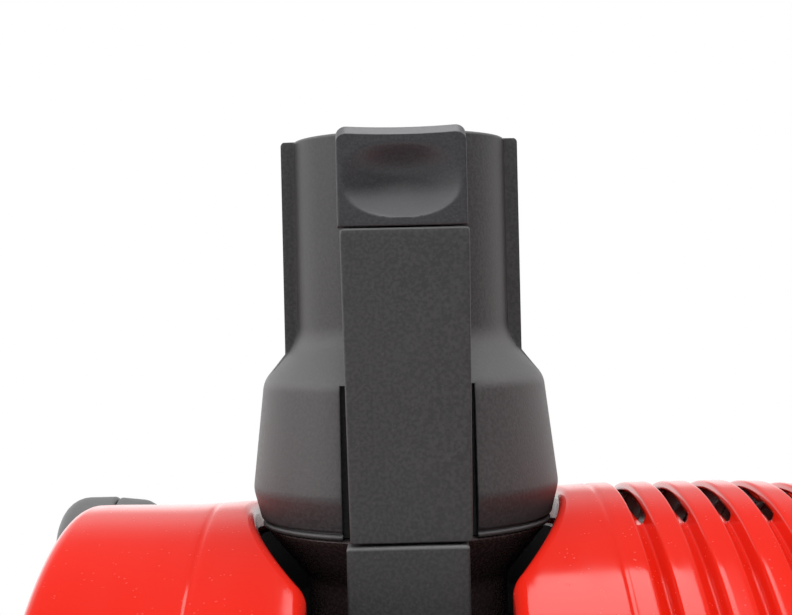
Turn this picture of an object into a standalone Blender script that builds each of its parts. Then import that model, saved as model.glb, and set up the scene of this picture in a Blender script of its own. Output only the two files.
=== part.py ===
"""Car dryer blower: a red two-shell barrel with louvred intake, a fan scroll and motor inside,
and a swivelling quick-release hose port on top. Metres, +Z up, the barrel's axis along X.

Drum coordinates below are counted from the middle of the barrel's axis (x right, y back, z up).
Port coordinates are counted from the port's axis at the lip of its skirt.
"""

import math

import bmesh
import bpy
from mathutils import Matrix, Vector

for old in list(bpy.data.objects):
    bpy.data.objects.remove(old, do_unlink=True)

# ---------------------------------------------------------------- driving dimensions
GAP = 0.0003  # clearance between neighbouring pieces
MERGE = 0.00002

# barrel: every radius follows from the widest one
BARREL_RADIUS = 0.1362  # right shell at its widest
RIGHT_RADIUS = BARREL_RADIUS
RIGHT_EDGE_RADIUS = RIGHT_RADIUS - 0.0012  # right shell at the channel
LEFT_RADIUS = RIGHT_RADIUS - 0.0023  # left shell at the channel
LEFT_END_RADIUS = LEFT_RADIUS - 0.0024
RIM_RADIUS = LEFT_RADIUS - 0.0083  # inner radius of the rims that line the channel
BAND_RADIUS = RIM_RADIUS + 0.0034
END_OPENING_RADIUS = LEFT_END_RADIUS - 0.0335
DRUM_LENGTH = 0.225
LEFT_CORNER = 0.0090
RIGHT_SHOULDER = 0.0178  # length of the rounded right end
RIGHT_SHOULDER_DROP = 0.0180
SHELL_WALL = 0.0030
EDGE_ROLL = 0.0030
CREASE_DROP = 0.0008

# outlet channel and well
PORT_OFFSET = 0.0275  # port axis left of the barrel's middle
CHANNEL_WIDTH = 0.0466
CREASE_OFFSET = CHANNEL_WIDTH / 2 + 0.0267  # soft crease rings, from the port axis
BAND_WALL = 0.0030
BAND_LIP = 0.0110  # how far the band reaches under each shell
WELL_WALL = 0.0020
WELL_HALF_WIDTH = CHANNEL_WIDTH / 2 + 0.0160  # half width of the well beside the port
WELL_SIDE_RADIUS = 0.1040
WELL_BLEND = 0.0120
WELL_FLOOR = LEFT_RADIUS - 0.0309  # floor of the well above the barrel's axis
WELL_CLEARANCE = 0.0010  # well's rim under the port's lip

# intake louvres
LOUVRE_COUNT = 7
LOUVRE_LAND = 0.0057  # flat band between two grooves
LOUVRE_DEPTH = 0.0036
LOUVRE_FALL = 0.68  # share of a groove that falls before it rises again
LOUVRE_START = CREASE_OFFSET + 0.0044  # first groove, from the port axis
LOUVRE_RUN = DRUM_LENGTH / 2 + PORT_OFFSET - RIGHT_SHOULDER - LOUVRE_START
LOUVRE_PITCH = (LOUVRE_RUN + LOUVRE_LAND) / LOUVRE_COUNT
LOUVRE_SLOT_WIDTH = 0.0026
LOUVRE_SLOT_INSET = 0.0006  # slot's side off the groove's start
TOP_SLOT_HALF_ANGLE = 12.0
SIDE_SLOT_HALF_ANGLE = 28.0

# fan scroll and impeller
SCROLL_WIDTH = CHANNEL_WIDTH - 0.0026
SCROLL_WALL = 0.0025
SCROLL_LARGE_RADIUS = WELL_FLOOR - 0.0050
SCROLL_SMALL_RADIUS = SCROLL_LARGE_RADIUS - 0.0130
SCROLL_EYE_RADIUS = 0.0380
IMPELLER_RADIUS = SCROLL_SMALL_RADIUS - 0.0150
IMPELLER_WIDTH = SCROLL_WIDTH / 2
IMPELLER_PLATE = 0.0020
IMPELLER_EYE = SCROLL_EYE_RADIUS - 0.0040
IMPELLER_HUB = 0.0120
BLADE_COUNT = 9
BLADE_THICKNESS = 0.0016
BLADE_SWEEP = 42.0  # degrees from hub to tip
NUT_RADIUS = 0.0075
NUT_SEAT = 0.0040

# motor
MOTOR_RADIUS = 0.0450
MOTOR_CAN_WALL = 0.0015
SCROLL_MOTOR_HOLE = MOTOR_RADIUS - 0.0130
MOUNT_RING_THICKNESS = 0.0034
MOTOR_SPACE = DRUM_LENGTH / 2 - PORT_OFFSET - SCROLL_WIDTH / 2 - MOUNT_RING_THICKNESS
MOTOR_LENGTH = MOTOR_SPACE - 0.0066
SHAFT_RADIUS = 0.0040
BEARING_RADIUS = SHAFT_RADIUS + 0.0070
BEARING_WIDTH = 0.0070
CORE_LENGTH = MOTOR_LENGTH - 0.0350
STATOR_BORE = MOTOR_RADIUS - 0.0188
ARMATURE_RADIUS = STATOR_BORE - 0.0007
COMMUTATOR_RADIUS = SHAFT_RADIUS + 0.0080
BRUSH_SIZE = 0.0040
BRUSH_LENGTH = 0.0130
RUNNING_CLEARANCE = 0.0004
SHAFT_CLEARANCE = 0.0001

# outlet port
LIP_HEIGHT = BARREL_RADIUS - 0.0078  # port lip above the barrel's axis
TUBE_RADIUS = 0.0278
TUBE_BORE = TUBE_RADIUS - 0.0026
PORT_HEIGHT = 0.0996
SKIRT_RADIUS = TUBE_RADIUS + 0.0116
LIP_RADIUS = SKIRT_RADIUS - 0.0022
WING_HALF_WIDTH = TUBE_RADIUS + 0.0036
WING_FRONT = 0.0040
WING_THICKNESS = 0.0080
WING_DROP = 0.0004  # wing's top under the rim
HOSE_STOP_HEIGHT = 0.0240
SPIGOT_RADIUS = TUBE_BORE - 0.0007
SPIGOT_HEIGHT = 0.0200
NECK_BORE = SPIGOT_RADIUS - 0.0032
NECK_RADIUS = SPIGOT_RADIUS + 0.0015
COLLAR_DEPTH = 0.0110

# latch
STRIP_FRONT = SKIRT_RADIUS + 0.0021
STRIP_WIDTH_TOP = 0.0309
STRIP_WIDTH_BOTTOM = STRIP_WIDTH_TOP - 0.0019
STRIP_HEIGHT = PORT_HEIGHT - 0.0247
STRIP_WALL = 0.0022
STRIP_SLIT = 0.0008
SLOT_TOP = STRIP_HEIGHT - 0.0159  # top of the slot that the strip lies in
SPINE_WIDTH = STRIP_WIDTH_BOTTOM + 0.0002
SPINE_FRONT = STRIP_FRONT - 0.0008
BUTTON_WIDTH = STRIP_WIDTH_TOP - 0.0003
BUTTON_HEIGHT = 0.0228
BUTTON_THICKNESS = 0.0050
DIMPLE_WIDTH = BUTTON_WIDTH - 0.0020
DIMPLE_HEIGHT = BUTTON_HEIGHT - 0.0048
DIMPLE_DEPTH = 0.0030
LATCH_PIN_HEIGHT = STRIP_HEIGHT - 0.0049
LATCH_PIN_DEPTH = STRIP_FRONT - 0.0080
LATCH_PIN_RADIUS = 0.0015
LEVER_THICKNESS = 0.0024
LEVER_WIDTH = STRIP_WIDTH_TOP - 0.0129
HOOK_HEIGHT = LATCH_PIN_HEIGHT - 0.0245
HOOK_REACH = 0.0010  # how far the hook stands into the bore
SPRING_RADIUS = 0.0030
SPRING_WIRE = 0.0007
SPRING_TURNS = 4

# control plate and filter cover
PLATE_RADIUS = END_OPENING_RADIUS + 0.0060
PLATE_THICKNESS = 0.0025
EDGE_BREAK = 0.0008
GRILLE_INNER = 0.0120
GRILLE_RADIUS = GRILLE_INNER + 0.0300
GRILLE_SLOT = 0.0050
GRILLE_SLOTS = 18
SWITCH_WIDTH = 0.0200
SWITCH_HEIGHT = 0.0300
SWITCH_DEPTH = 0.0200
BEZEL = 0.0022
ROCKER_TILT = 8.0
DIAL_RADIUS = 0.0160
DIAL_HEIGHT = 0.0130
RESET_RADIUS = 0.0050
RESET_TRAVEL = 0.0020
INLET_WIDTH = 0.0300
INLET_HEIGHT = 0.0240
INLET_DEPTH = 0.0220
INLET_FRAME = 0.0040
PIN_PITCH = 0.0070
CONTROL_RADIUS = PLATE_RADIUS - 0.0300  # where the controls sit on the plate
CONTROL_SPREAD = 0.0260
LOW_ROW = PLATE_RADIUS - 0.0340
BOARD_NEAR = PLATE_RADIUS / 2
BOARD_WIDTH = 0.0360
BOARD_HEIGHT = 0.0600
BOARD_THICKNESS = 0.0016
BOARD_DEPTH = 0.0180
POST_RADIUS = 0.0028
BASKET_RADIUS = END_OPENING_RADIUS - 0.0130
BASKET_WALL = 0.0030
BASKET_BARS = 6
FOAM_THICKNESS = 0.0120
BELL_RADIUS = SCROLL_EYE_RADIUS + 0.0220
BELL_THICKNESS = 0.0040
STUD_RADIUS = 0.0040
KNOB_RADIUS = 0.0240
KNOB_HEIGHT = 0.0140
COVER_DISH = 0.0012

# carrying handle
PIVOT_ANGLE = 32.08  # degrees behind the top of the barrel
PIVOT_REACH = LEFT_END_RADIUS - 0.00345  # pivot from the barrel's axis
PIVOT_BACK = PIVOT_REACH * math.sin(math.radians(PIVOT_ANGLE))
PIVOT_HEIGHT = PIVOT_REACH * math.cos(math.radians(PIVOT_ANGLE))
PIVOT_RADIUS = 0.0060
PIVOT_FIT = 1.018  # bore over axle, so that their flats pass each other
EYE_RADIUS = 0.0195
ARM_THICKNESS = 0.0175
ARM_EDGE = 0.0075
ARM_CLEARANCE = 0.0035  # arm off the drum's end
GRIP_BACK = BARREL_RADIUS + 0.0288
GRIP_HEIGHT = 0.0220
GRIP_RADIUS = 0.0145
GRIP_MARGIN = 0.0200  # arm's inner face to the grip's end
HANDLE_TUBE_RADIUS = 0.0090
HANDLE_TUBE_WALL = 0.0015
TUBE_SOCKET = 0.0120

# base
CRADLE_BOTTOM = 0.0080  # above the floor
CRADLE_SETBACK = 0.0225  # cradle's end inside the drum's end
CRADLE_LENGTH = DRUM_LENGTH - 2 * CRADLE_SETBACK
CRADLE_DEPTH = 0.1640
CRADLE_CORNER = 0.0180
CRADLE_SEAT = 0.0078  # least thickness under the barrel
FOOT_RADIUS = 0.0140
FOOT_INSET = 0.0200
AXIS_HEIGHT = BARREL_RADIUS + CRADLE_BOTTOM + CRADLE_SEAT  # barrel axis above the floor

DRUM_SEGMENTS = 36
PORT_SEGMENTS = 28
MOTOR_SEGMENTS = 20
SMALL_SEGMENTS = 12
PIVOT_SEGMENTS = 24

# ---------------------------------------------------------------- worked-out places
PORT_X = -PORT_OFFSET
LEFT_END = -DRUM_LENGTH / 2
RIGHT_END = DRUM_LENGTH / 2
CHANNEL_LEFT = PORT_X - CHANNEL_WIDTH / 2
CHANNEL_RIGHT = PORT_X + CHANNEL_WIDTH / 2
FRONT_REACH = RIGHT_RADIUS
BACK_REACH = GRIP_BACK + GRIP_RADIUS
AXIS_Y = (FRONT_REACH - BACK_REACH) / 2
SCROLL_LEFT = PORT_X - SCROLL_WIDTH / 2
SCROLL_RIGHT = PORT_X + SCROLL_WIDTH / 2
WELL_BOTTOM = WELL_FLOOR - WELL_WALL
PLATE_OUTER = LEFT_END - GAP - PLATE_THICKNESS
COVER_OUTER = RIGHT_END + GAP + PLATE_THICKNESS


# ---------------------------------------------------------------- tools
def material(name, colour, roughness, metallic=0.0):
    """One Principled finish."""
    made = bpy.data.materials.new(name)
    made.use_nodes = True
    shader = made.node_tree.nodes["Principled BSDF"]
    shader.inputs["Base Color"].default_value = (*colour, 1.0)
    shader.inputs["Roughness"].default_value = roughness
    shader.inputs["Metallic"].default_value = metallic
    return made


RED = dict(colour=(0.78, 0.035, 0.018), roughness=0.15)
BLACK = dict(colour=(0.035, 0.036, 0.039), roughness=0.45)
RUBBER = dict(colour=(0.02, 0.02, 0.02), roughness=0.8)
STEEL = dict(colour=(0.55, 0.55, 0.56), roughness=0.3, metallic=1.0)
COPPER = dict(colour=(0.72, 0.34, 0.18), roughness=0.35, metallic=1.0)
CARBON = dict(colour=(0.05, 0.05, 0.05), roughness=0.6)
FOAM = dict(colour=(0.08, 0.08, 0.09), roughness=0.95)
BOARD = dict(colour=(0.03, 0.22, 0.08), roughness=0.5)
ALLOY = dict(colour=(0.70, 0.71, 0.72), roughness=0.4, metallic=1.0)
BRASS = dict(colour=(0.75, 0.60, 0.30), roughness=0.3, metallic=1.0)


def empty(name, place, parent=None):
    """A reference frame that pieces hang on."""
    made = bpy.data.objects.new(name, None)
    bpy.context.collection.objects.link(made)
    made.location = place
    made.parent = parent
    return made


def piece(name, shape, parent, finish, place=(0, 0, 0), sharp=40.0):
    """A visible part made from a bmesh, with its own material."""
    bmesh.ops.remove_doubles(shape, verts=shape.verts, dist=MERGE)
    bmesh.ops.recalc_face_normals(shape, faces=shape.faces)
    mesh = bpy.data.meshes.new(name)
    shape.to_mesh(mesh)
    shape.free()
    mesh.shade_smooth()
    mesh.set_sharp_from_angle(angle=math.radians(sharp))
    made = bpy.data.objects.new(name, mesh)
    bpy.context.collection.objects.link(made)
    made.parent = parent
    made.location = place
    if finish:
        mesh.materials.append(material(name, **finish))
    return made


def cutter(name, shape, parent, place=(0, 0, 0)):
    """A hidden solid that only Booleans use."""
    made = piece(name, shape, parent, None, place)
    made.hide_render = True
    made.display_type = "WIRE"
    return made


def boolean(target, tool, operation="DIFFERENCE", solver="EXACT"):
    """Cut, join or trim a part with another solid."""
    step = target.modifiers.new(operation.lower(), "BOOLEAN")
    step.operation = operation
    step.object = tool
    step.solver = solver
    return target


def on_axis(axis, along, u, v):
    """A point from its place along an axis and its two offsets across it."""
    if axis == "X":
        return Vector((along, u, v))
    if axis == "Y":
        return Vector((u, along, v))
    return Vector((u, v, along))


def turned(profile, axis="X", segments=DRUM_SEGMENTS, centre=(0, 0), shape=None):
    """A body turned from a closed loop of (along, radius) points."""
    shape = shape or bmesh.new()
    rings = []
    for along, radius in profile:
        if radius < MERGE:
            rings.append([shape.verts.new(on_axis(axis, along, *centre))])
            continue
        ring = []
        for k in range(segments):
            turn = 2 * math.pi * k / segments
            u = centre[0] + radius * math.sin(turn)
            v = centre[1] + radius * math.cos(turn)
            ring.append(shape.verts.new(on_axis(axis, along, u, v)))
        rings.append(ring)
    for first, second in zip(rings, rings[1:] + rings[:1]):
        for k in range(segments):
            n = (k + 1) % segments
            if len(first) == 1 and len(second) == 1:
                break
            if len(first) == 1:
                shape.faces.new((first[0], second[n], second[k]))
            elif len(second) == 1:
                shape.faces.new((first[k], first[n], second[0]))
            else:
                shape.faces.new((first[k], first[n], second[n], second[k]))
    return shape


def prism(outline, low, high, axis="Z", shape=None):
    """A straight body of one outline, between two places along an axis."""
    shape = shape or bmesh.new()
    bottom = [shape.verts.new(on_axis(axis, low, u, v)) for u, v in outline]
    top = [shape.verts.new(on_axis(axis, high, u, v)) for u, v in outline]
    shape.faces.new(bottom)
    shape.faces.new(top)
    count = len(outline)
    for k in range(count):
        n = (k + 1) % count
        shape.faces.new((bottom[k], bottom[n], top[n], top[k]))
    return shape


def box(low, high, shape=None):
    """A rectangular body between two corners."""
    outline = [(low[0], low[1]), (high[0], low[1]), (high[0], high[1]), (low[0], high[1])]
    return prism(outline, low[2], high[2], "Z", shape)


def arc(centre, radius, start, end, count):
    """Points on a circular arc, angles in degrees counted from +u towards +v."""
    steps = [math.radians(start + (end - start) * k / (count - 1)) for k in range(count)]
    return [(centre[0] + radius * math.cos(t), centre[1] + radius * math.sin(t)) for t in steps]


def rounded(half_u, half_v, corner, centre=(0, 0), count=5):
    """A rectangle's outline with round corners."""
    u, v = half_u - corner, half_v - corner
    places = [(u, v, 0), (-u, v, 90), (-u, -v, 180), (u, -v, 270)]
    points = []
    for du, dv, start in places:
        points += arc((centre[0] + du, centre[1] + dv), corner, start, start + 90, count)
    return points


def rod(axis, low, high, radius, centre=(0, 0), segments=SMALL_SEGMENTS, shape=None):
    """A plain round bar."""
    profile = [(low, 0), (low, radius), (high, radius), (high, 0)]
    return turned(profile, axis, segments, centre, shape)


def tube(axis, low, high, outer, inner, centre=(0, 0), segments=SMALL_SEGMENTS, shape=None):
    """A plain round tube."""
    profile = [(low, inner), (low, outer), (high, outer), (high, inner)]
    return turned(profile, axis, segments, centre, shape)


def bevelled(target, width, segments=2):
    """Round the sharp edges of a part a little."""
    step = target.modifiers.new("bevel", "BEVEL")
    step.width = width
    step.segments = segments
    step.limit_method = "ANGLE"
    step.angle_limit = math.radians(60)
    return target


drum = empty("drum_frame", (0, AXIS_Y, AXIS_HEIGHT))
port = empty("port_frame", (PORT_X, 0, LIP_HEIGHT), drum)


# ---------------------------------------------------------------- outlines shared by neighbours
def keyhole(grow=0.0):
    """Outline of the recess round the port: two bowed sides that blend into the channel, front and back."""
    half = CHANNEL_WIDTH / 2 + grow
    radius = WELL_SIDE_RADIUS + grow
    blend = WELL_BLEND - grow
    bow_x = WELL_HALF_WIDTH - WELL_SIDE_RADIUS
    centre_x = half + blend
    centre_y = math.sqrt((radius + blend) ** 2 - (centre_x - bow_x) ** 2)
    touch = math.degrees(math.atan2(centre_y, centre_x - bow_x))
    reach = RIGHT_RADIUS * 1.1
    side = arc((bow_x, 0), radius, -touch, touch, 9)
    back = arc((centre_x, centre_y), blend, 180 + touch, 180, 5)[1:]
    front = [(x, -y) for x, y in reversed(back)]
    right = [(half, -reach), *front, *side, *back, (half, reach)]
    left = [(-x, y) for x, y in reversed(right)]
    return [(PORT_X + x, y) for x, y in right + left]


def right_radius(x):
    """Outer radius of the right shell: a slight flare, a straight run, then a soft fall."""
    flat_from = PORT_X + LOUVRE_START - 0.002
    flat_to = PORT_X + LOUVRE_START + 2.6 * LOUVRE_PITCH
    if x < flat_from:
        share = (x - CHANNEL_RIGHT) / (flat_from - CHANNEL_RIGHT)
        return RIGHT_EDGE_RADIUS + (RIGHT_RADIUS - RIGHT_EDGE_RADIUS) * share
    return RIGHT_RADIUS - 2.6 * max(0.0, x - flat_to) ** 2


def left_outer():
    """Outer side of the left shell from the channel to its flat end."""
    crease = PORT_X - CREASE_OFFSET
    points = arc(
        (CHANNEL_LEFT - EDGE_ROLL, LEFT_RADIUS - EDGE_ROLL), EDGE_ROLL, 0, 90, 3
    )
    points.append((crease, LEFT_RADIUS - CREASE_DROP))
    points += arc(
        (LEFT_END + LEFT_CORNER, LEFT_END_RADIUS - LEFT_CORNER), LEFT_CORNER, 88, 180, 5
    )
    return points


def right_outer(grooves=True):
    """Outer side of the right shell from the channel to its flat end, with or without louvres."""
    start = (CHANNEL_RIGHT + EDGE_ROLL, RIGHT_EDGE_RADIUS - EDGE_ROLL)
    points = arc(start, EDGE_ROLL, 180, 90, 3)
    crease = PORT_X + CREASE_OFFSET - 0.001
    points.append((crease, right_radius(crease)))
    for k in range(LOUVRE_COUNT if grooves else 0):
        left = PORT_X + LOUVRE_START + k * LOUVRE_PITCH
        right = left + LOUVRE_PITCH - LOUVRE_LAND
        bottom = left + (right - left) * LOUVRE_FALL
        points.append((left, right_radius(left)))
        points.append((bottom, right_radius(bottom) - LOUVRE_DEPTH))
        points.append((right, right_radius(right)))
    if not grooves:
        steps = [PORT_X + LOUVRE_START + k * LOUVRE_RUN / 7 for k in range(7)]
        points += [(x, right_radius(x)) for x in steps]
    start_x = RIGHT_END - RIGHT_SHOULDER
    top = right_radius(start_x)
    for k in range(1, 6):
        turn = math.radians(90 * k / 5)
        x = start_x + RIGHT_SHOULDER * math.sin(turn)
        points.append((x, top - RIGHT_SHOULDER_DROP * (1 - math.cos(turn))))
    return points


def spiral(wall=0.0):
    """Scroll outline in (y, z): its radius grows once round, front side first."""
    points = []
    count = 32
    for k in range(count + 1):
        share = k / count
        radius = SCROLL_SMALL_RADIUS + (SCROLL_LARGE_RADIUS - SCROLL_SMALL_RADIUS) * share - wall
        turn = -2 * math.pi * share
        points.append((radius * math.sin(turn), radius * math.cos(turn)))
    return points


def port_outer():
    """Outer side of the port body, from the lip of the skirt to the rim, as (height, radius)."""
    return [
        (0.0, LIP_RADIUS),
        (0.0012, LIP_RADIUS + 0.0002),
        (0.0018, LIP_RADIUS - 0.0006),
        (0.0026, LIP_RADIUS + 0.0004),
        (0.0060, LIP_RADIUS + 0.0016),
        (0.0115, SKIRT_RADIUS),
        (0.0270, SKIRT_RADIUS - 0.0013),
        (0.0360, SKIRT_RADIUS - 0.0027),
        (0.0400, SKIRT_RADIUS - 0.0041),
        (0.0430, SKIRT_RADIUS - 0.0065),
        (0.0465, TUBE_RADIUS + 0.0018),
        (0.0570, TUBE_RADIUS),
        (PORT_HEIGHT - 0.0008, TUBE_RADIUS),
        (PORT_HEIGHT, TUBE_RADIUS - 0.0008),
    ]


# ---------------------------------------------------------------- barrel shells
def build_shells():
    """Left and right red shells, with the recess, the louvre slots and the end openings."""
    recess = cutter("recess_cut", prism(keyhole(), WELL_BOTTOM - GAP, RIGHT_RADIUS * 1.1), drum)
    inner_end = LEFT_END + SHELL_WALL
    left = left_outer()
    left += [(LEFT_END, END_OPENING_RADIUS), (inner_end, END_OPENING_RADIUS)]
    left += arc(
        (LEFT_END + LEFT_CORNER, LEFT_END_RADIUS - LEFT_CORNER),
        LEFT_CORNER - SHELL_WALL, 180, 90, 3,
    )
    left += [
        (CHANNEL_LEFT - SHELL_WALL, LEFT_RADIUS - SHELL_WALL - 0.0003),
        (CHANNEL_LEFT - SHELL_WALL, RIM_RADIUS),
        (CHANNEL_LEFT, RIM_RADIUS),
    ]
    left_shell = piece("left_shell", turned(left), drum, RED)
    boolean(left_shell, recess)

    inner = RIGHT_RADIUS - LOUVRE_DEPTH - SHELL_WALL
    shoulder = RIGHT_END - RIGHT_SHOULDER
    right = right_outer()
    right += [
        (RIGHT_END, END_OPENING_RADIUS),
        (RIGHT_END - SHELL_WALL, END_OPENING_RADIUS),
        (RIGHT_END - SHELL_WALL, inner - RIGHT_SHOULDER_DROP + 0.0020),
        (shoulder + 0.0080, inner - 0.0070),
        (shoulder - 0.0040, inner - 0.0030),
        (PORT_X + LOUVRE_START + 4 * LOUVRE_PITCH, inner),
        (PORT_X + LOUVRE_START - 0.002, inner),
        (PORT_X + CREASE_OFFSET - 0.004, RIGHT_RADIUS - SHELL_WALL - 0.0006),
        (CHANNEL_RIGHT + SHELL_WALL, RIGHT_EDGE_RADIUS - SHELL_WALL),
        (CHANNEL_RIGHT + SHELL_WALL, RIM_RADIUS),
        (CHANNEL_RIGHT, RIM_RADIUS),
    ]
    right_shell = piece("right_shell", turned(right), drum, RED)
    boolean(right_shell, recess)
    boolean(right_shell, cutter("louvre_slots", louvre_slots(), drum))


def louvre_slots():
    """Ring sectors that open the deep side of each groove at the top, front and back."""
    shape = bmesh.new()
    windows = [(0, TOP_SLOT_HALF_ANGLE), (90, SIDE_SLOT_HALF_ANGLE), (-90, SIDE_SLOT_HALF_ANGLE)]
    low = RIGHT_RADIUS - LOUVRE_DEPTH - 3 * SHELL_WALL
    for k in range(LOUVRE_COUNT):
        slot_x = PORT_X + LOUVRE_START + k * LOUVRE_PITCH + LOUVRE_SLOT_INSET
        slot = (slot_x, slot_x + LOUVRE_SLOT_WIDTH)
        for middle, half in windows:
            steps = max(3, round(half / 7.0))
            outline = []
            for radius, sign in ((RIGHT_RADIUS + 0.002, 1), (low, -1)):
                for n in range(steps + 1):
                    turn = math.radians(middle + sign * half * (2 * n / steps - 1))
                    outline.append((radius * math.sin(turn), radius * math.cos(turn)))
            prism(outline, *slot, "X", shape)
    return shape


def build_band():
    """Black centre band between the shells and the well round the port."""
    lip_top = RIM_RADIUS - GAP
    half = CHANNEL_WIDTH / 2 - GAP
    reach = CHANNEL_WIDTH / 2 + BAND_LIP
    low = lip_top - BAND_WALL
    profile = [
        (PORT_X - reach, low), (PORT_X - reach, lip_top), (PORT_X - half, lip_top),
        (PORT_X - half, BAND_RADIUS), (PORT_X + half, BAND_RADIUS), (PORT_X + half, lip_top),
        (PORT_X + reach, lip_top), (PORT_X + reach, low),
    ]
    band = piece("centre_band", turned(profile), drum, BLACK)
    boolean(band, cutter("band_cut", prism(keyhole(), WELL_BOTTOM - GAP, RIGHT_RADIUS * 1.1), drum))

    grow = -2 * GAP
    well = piece("outlet_well", prism(keyhole(grow), WELL_BOTTOM, RIGHT_RADIUS), drum, BLACK)
    hollow = prism(keyhole(grow - WELL_WALL), WELL_FLOOR, RIGHT_RADIUS * 1.2)
    boolean(well, cutter("well_hollow", hollow, drum))
    trim = rod("X", LEFT_END, RIGHT_END, LIP_HEIGHT - WELL_CLEARANCE, segments=DRUM_SEGMENTS)
    boolean(well, cutter("well_trim", trim, drum), "INTERSECT")
    hole = rod("Z", 0, RIGHT_RADIUS, NECK_RADIUS + GAP, (PORT_X, 0), PORT_SEGMENTS)
    boolean(well, cutter("well_hole", hole, drum))


# ---------------------------------------------------------------- fan
def build_scroll():
    """Two halves of the fan scroll, with the motor hole, the inlet eye and the outlet on top."""
    outlet = cutter(
        "outlet_cut", rod("Z", SCROLL_SMALL_RADIUS * 0.6, RIGHT_RADIUS, NECK_BORE, (PORT_X, 0), 32), drum
    )
    halves = (
        ("scroll_motor_half", SCROLL_LEFT, PORT_X - GAP / 2, SCROLL_LEFT + SCROLL_WALL,
         PORT_X + SCROLL_WALL, SCROLL_MOTOR_HOLE),
        ("scroll_inlet_half", PORT_X + GAP / 2, SCROLL_RIGHT, PORT_X - SCROLL_WALL,
         SCROLL_RIGHT - SCROLL_WALL, SCROLL_EYE_RADIUS),
    )
    for name, low, high, hollow_low, hollow_high, hole in halves:
        half = piece(name, prism(spiral(), low, high, "X"), drum, BLACK)
        hollow = prism(spiral(SCROLL_WALL), hollow_low, hollow_high, "X")
        boolean(half, cutter(name + "_hollow", hollow, drum))
        boolean(half, cutter(name + "_hole", rod("X", SCROLL_LEFT * 2, 0.05, hole, segments=32), drum))
        boolean(half, outlet)


def build_impeller():
    """Back plate, hub, swept blades and shroud as one casting, and its nut."""
    back = PORT_X - IMPELLER_WIDTH / 2
    front = PORT_X + IMPELLER_WIDTH / 2
    bore = SHAFT_RADIUS + GAP
    hub = IMPELLER_HUB
    end = front - NUT_SEAT
    profile = [
        (back, bore), (back, IMPELLER_RADIUS), (back + IMPELLER_PLATE, IMPELLER_RADIUS),
        (back + IMPELLER_PLATE, hub + 2 * IMPELLER_PLATE), (back + 3 * IMPELLER_PLATE, hub),
        (end, hub - 0.0030),
        (end, bore),
    ]
    wheel = piece("impeller", turned(profile, segments=MOTOR_SEGMENTS), drum, ALLOY)
    blades = bmesh.new()
    for k in range(BLADE_COUNT):
        blade_outline(blades, k, back + IMPELLER_PLATE / 2, front - IMPELLER_PLATE / 2)
    boolean(wheel, cutter("blades", blades, drum), "UNION")
    shroud = tube("X", front - IMPELLER_PLATE, front, IMPELLER_RADIUS, IMPELLER_EYE,
                  segments=MOTOR_SEGMENTS)
    boolean(wheel, cutter("shroud", shroud, drum), "UNION")
    hexagon_bore = bore / math.cos(math.radians(30))
    nut = tube("X", end + GAP, front + NUT_SEAT / 2, NUT_RADIUS, hexagon_bore, segments=6)
    piece("impeller_nut", nut, drum, STEEL)


def blade_outline(shape, index, low, high):
    """One backward-swept blade between the hub and the rim."""
    inner, outer = IMPELLER_HUB * 0.8333, IMPELLER_RADIUS - 0.0005
    count = 5
    start = 2 * math.pi * index / BLADE_COUNT
    near, far = [], []
    for n in range(count):
        share = n / (count - 1)
        radius = inner + (outer - inner) * share
        turn = start - math.radians(BLADE_SWEEP) * share**1.3
        half = BLADE_THICKNESS / 2 / radius
        near.append((radius * math.sin(turn - half), radius * math.cos(turn - half)))
        far.append((radius * math.sin(turn + half), radius * math.cos(turn + half)))
    return prism(near + far[::-1], low, high, "X", shape)


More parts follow.
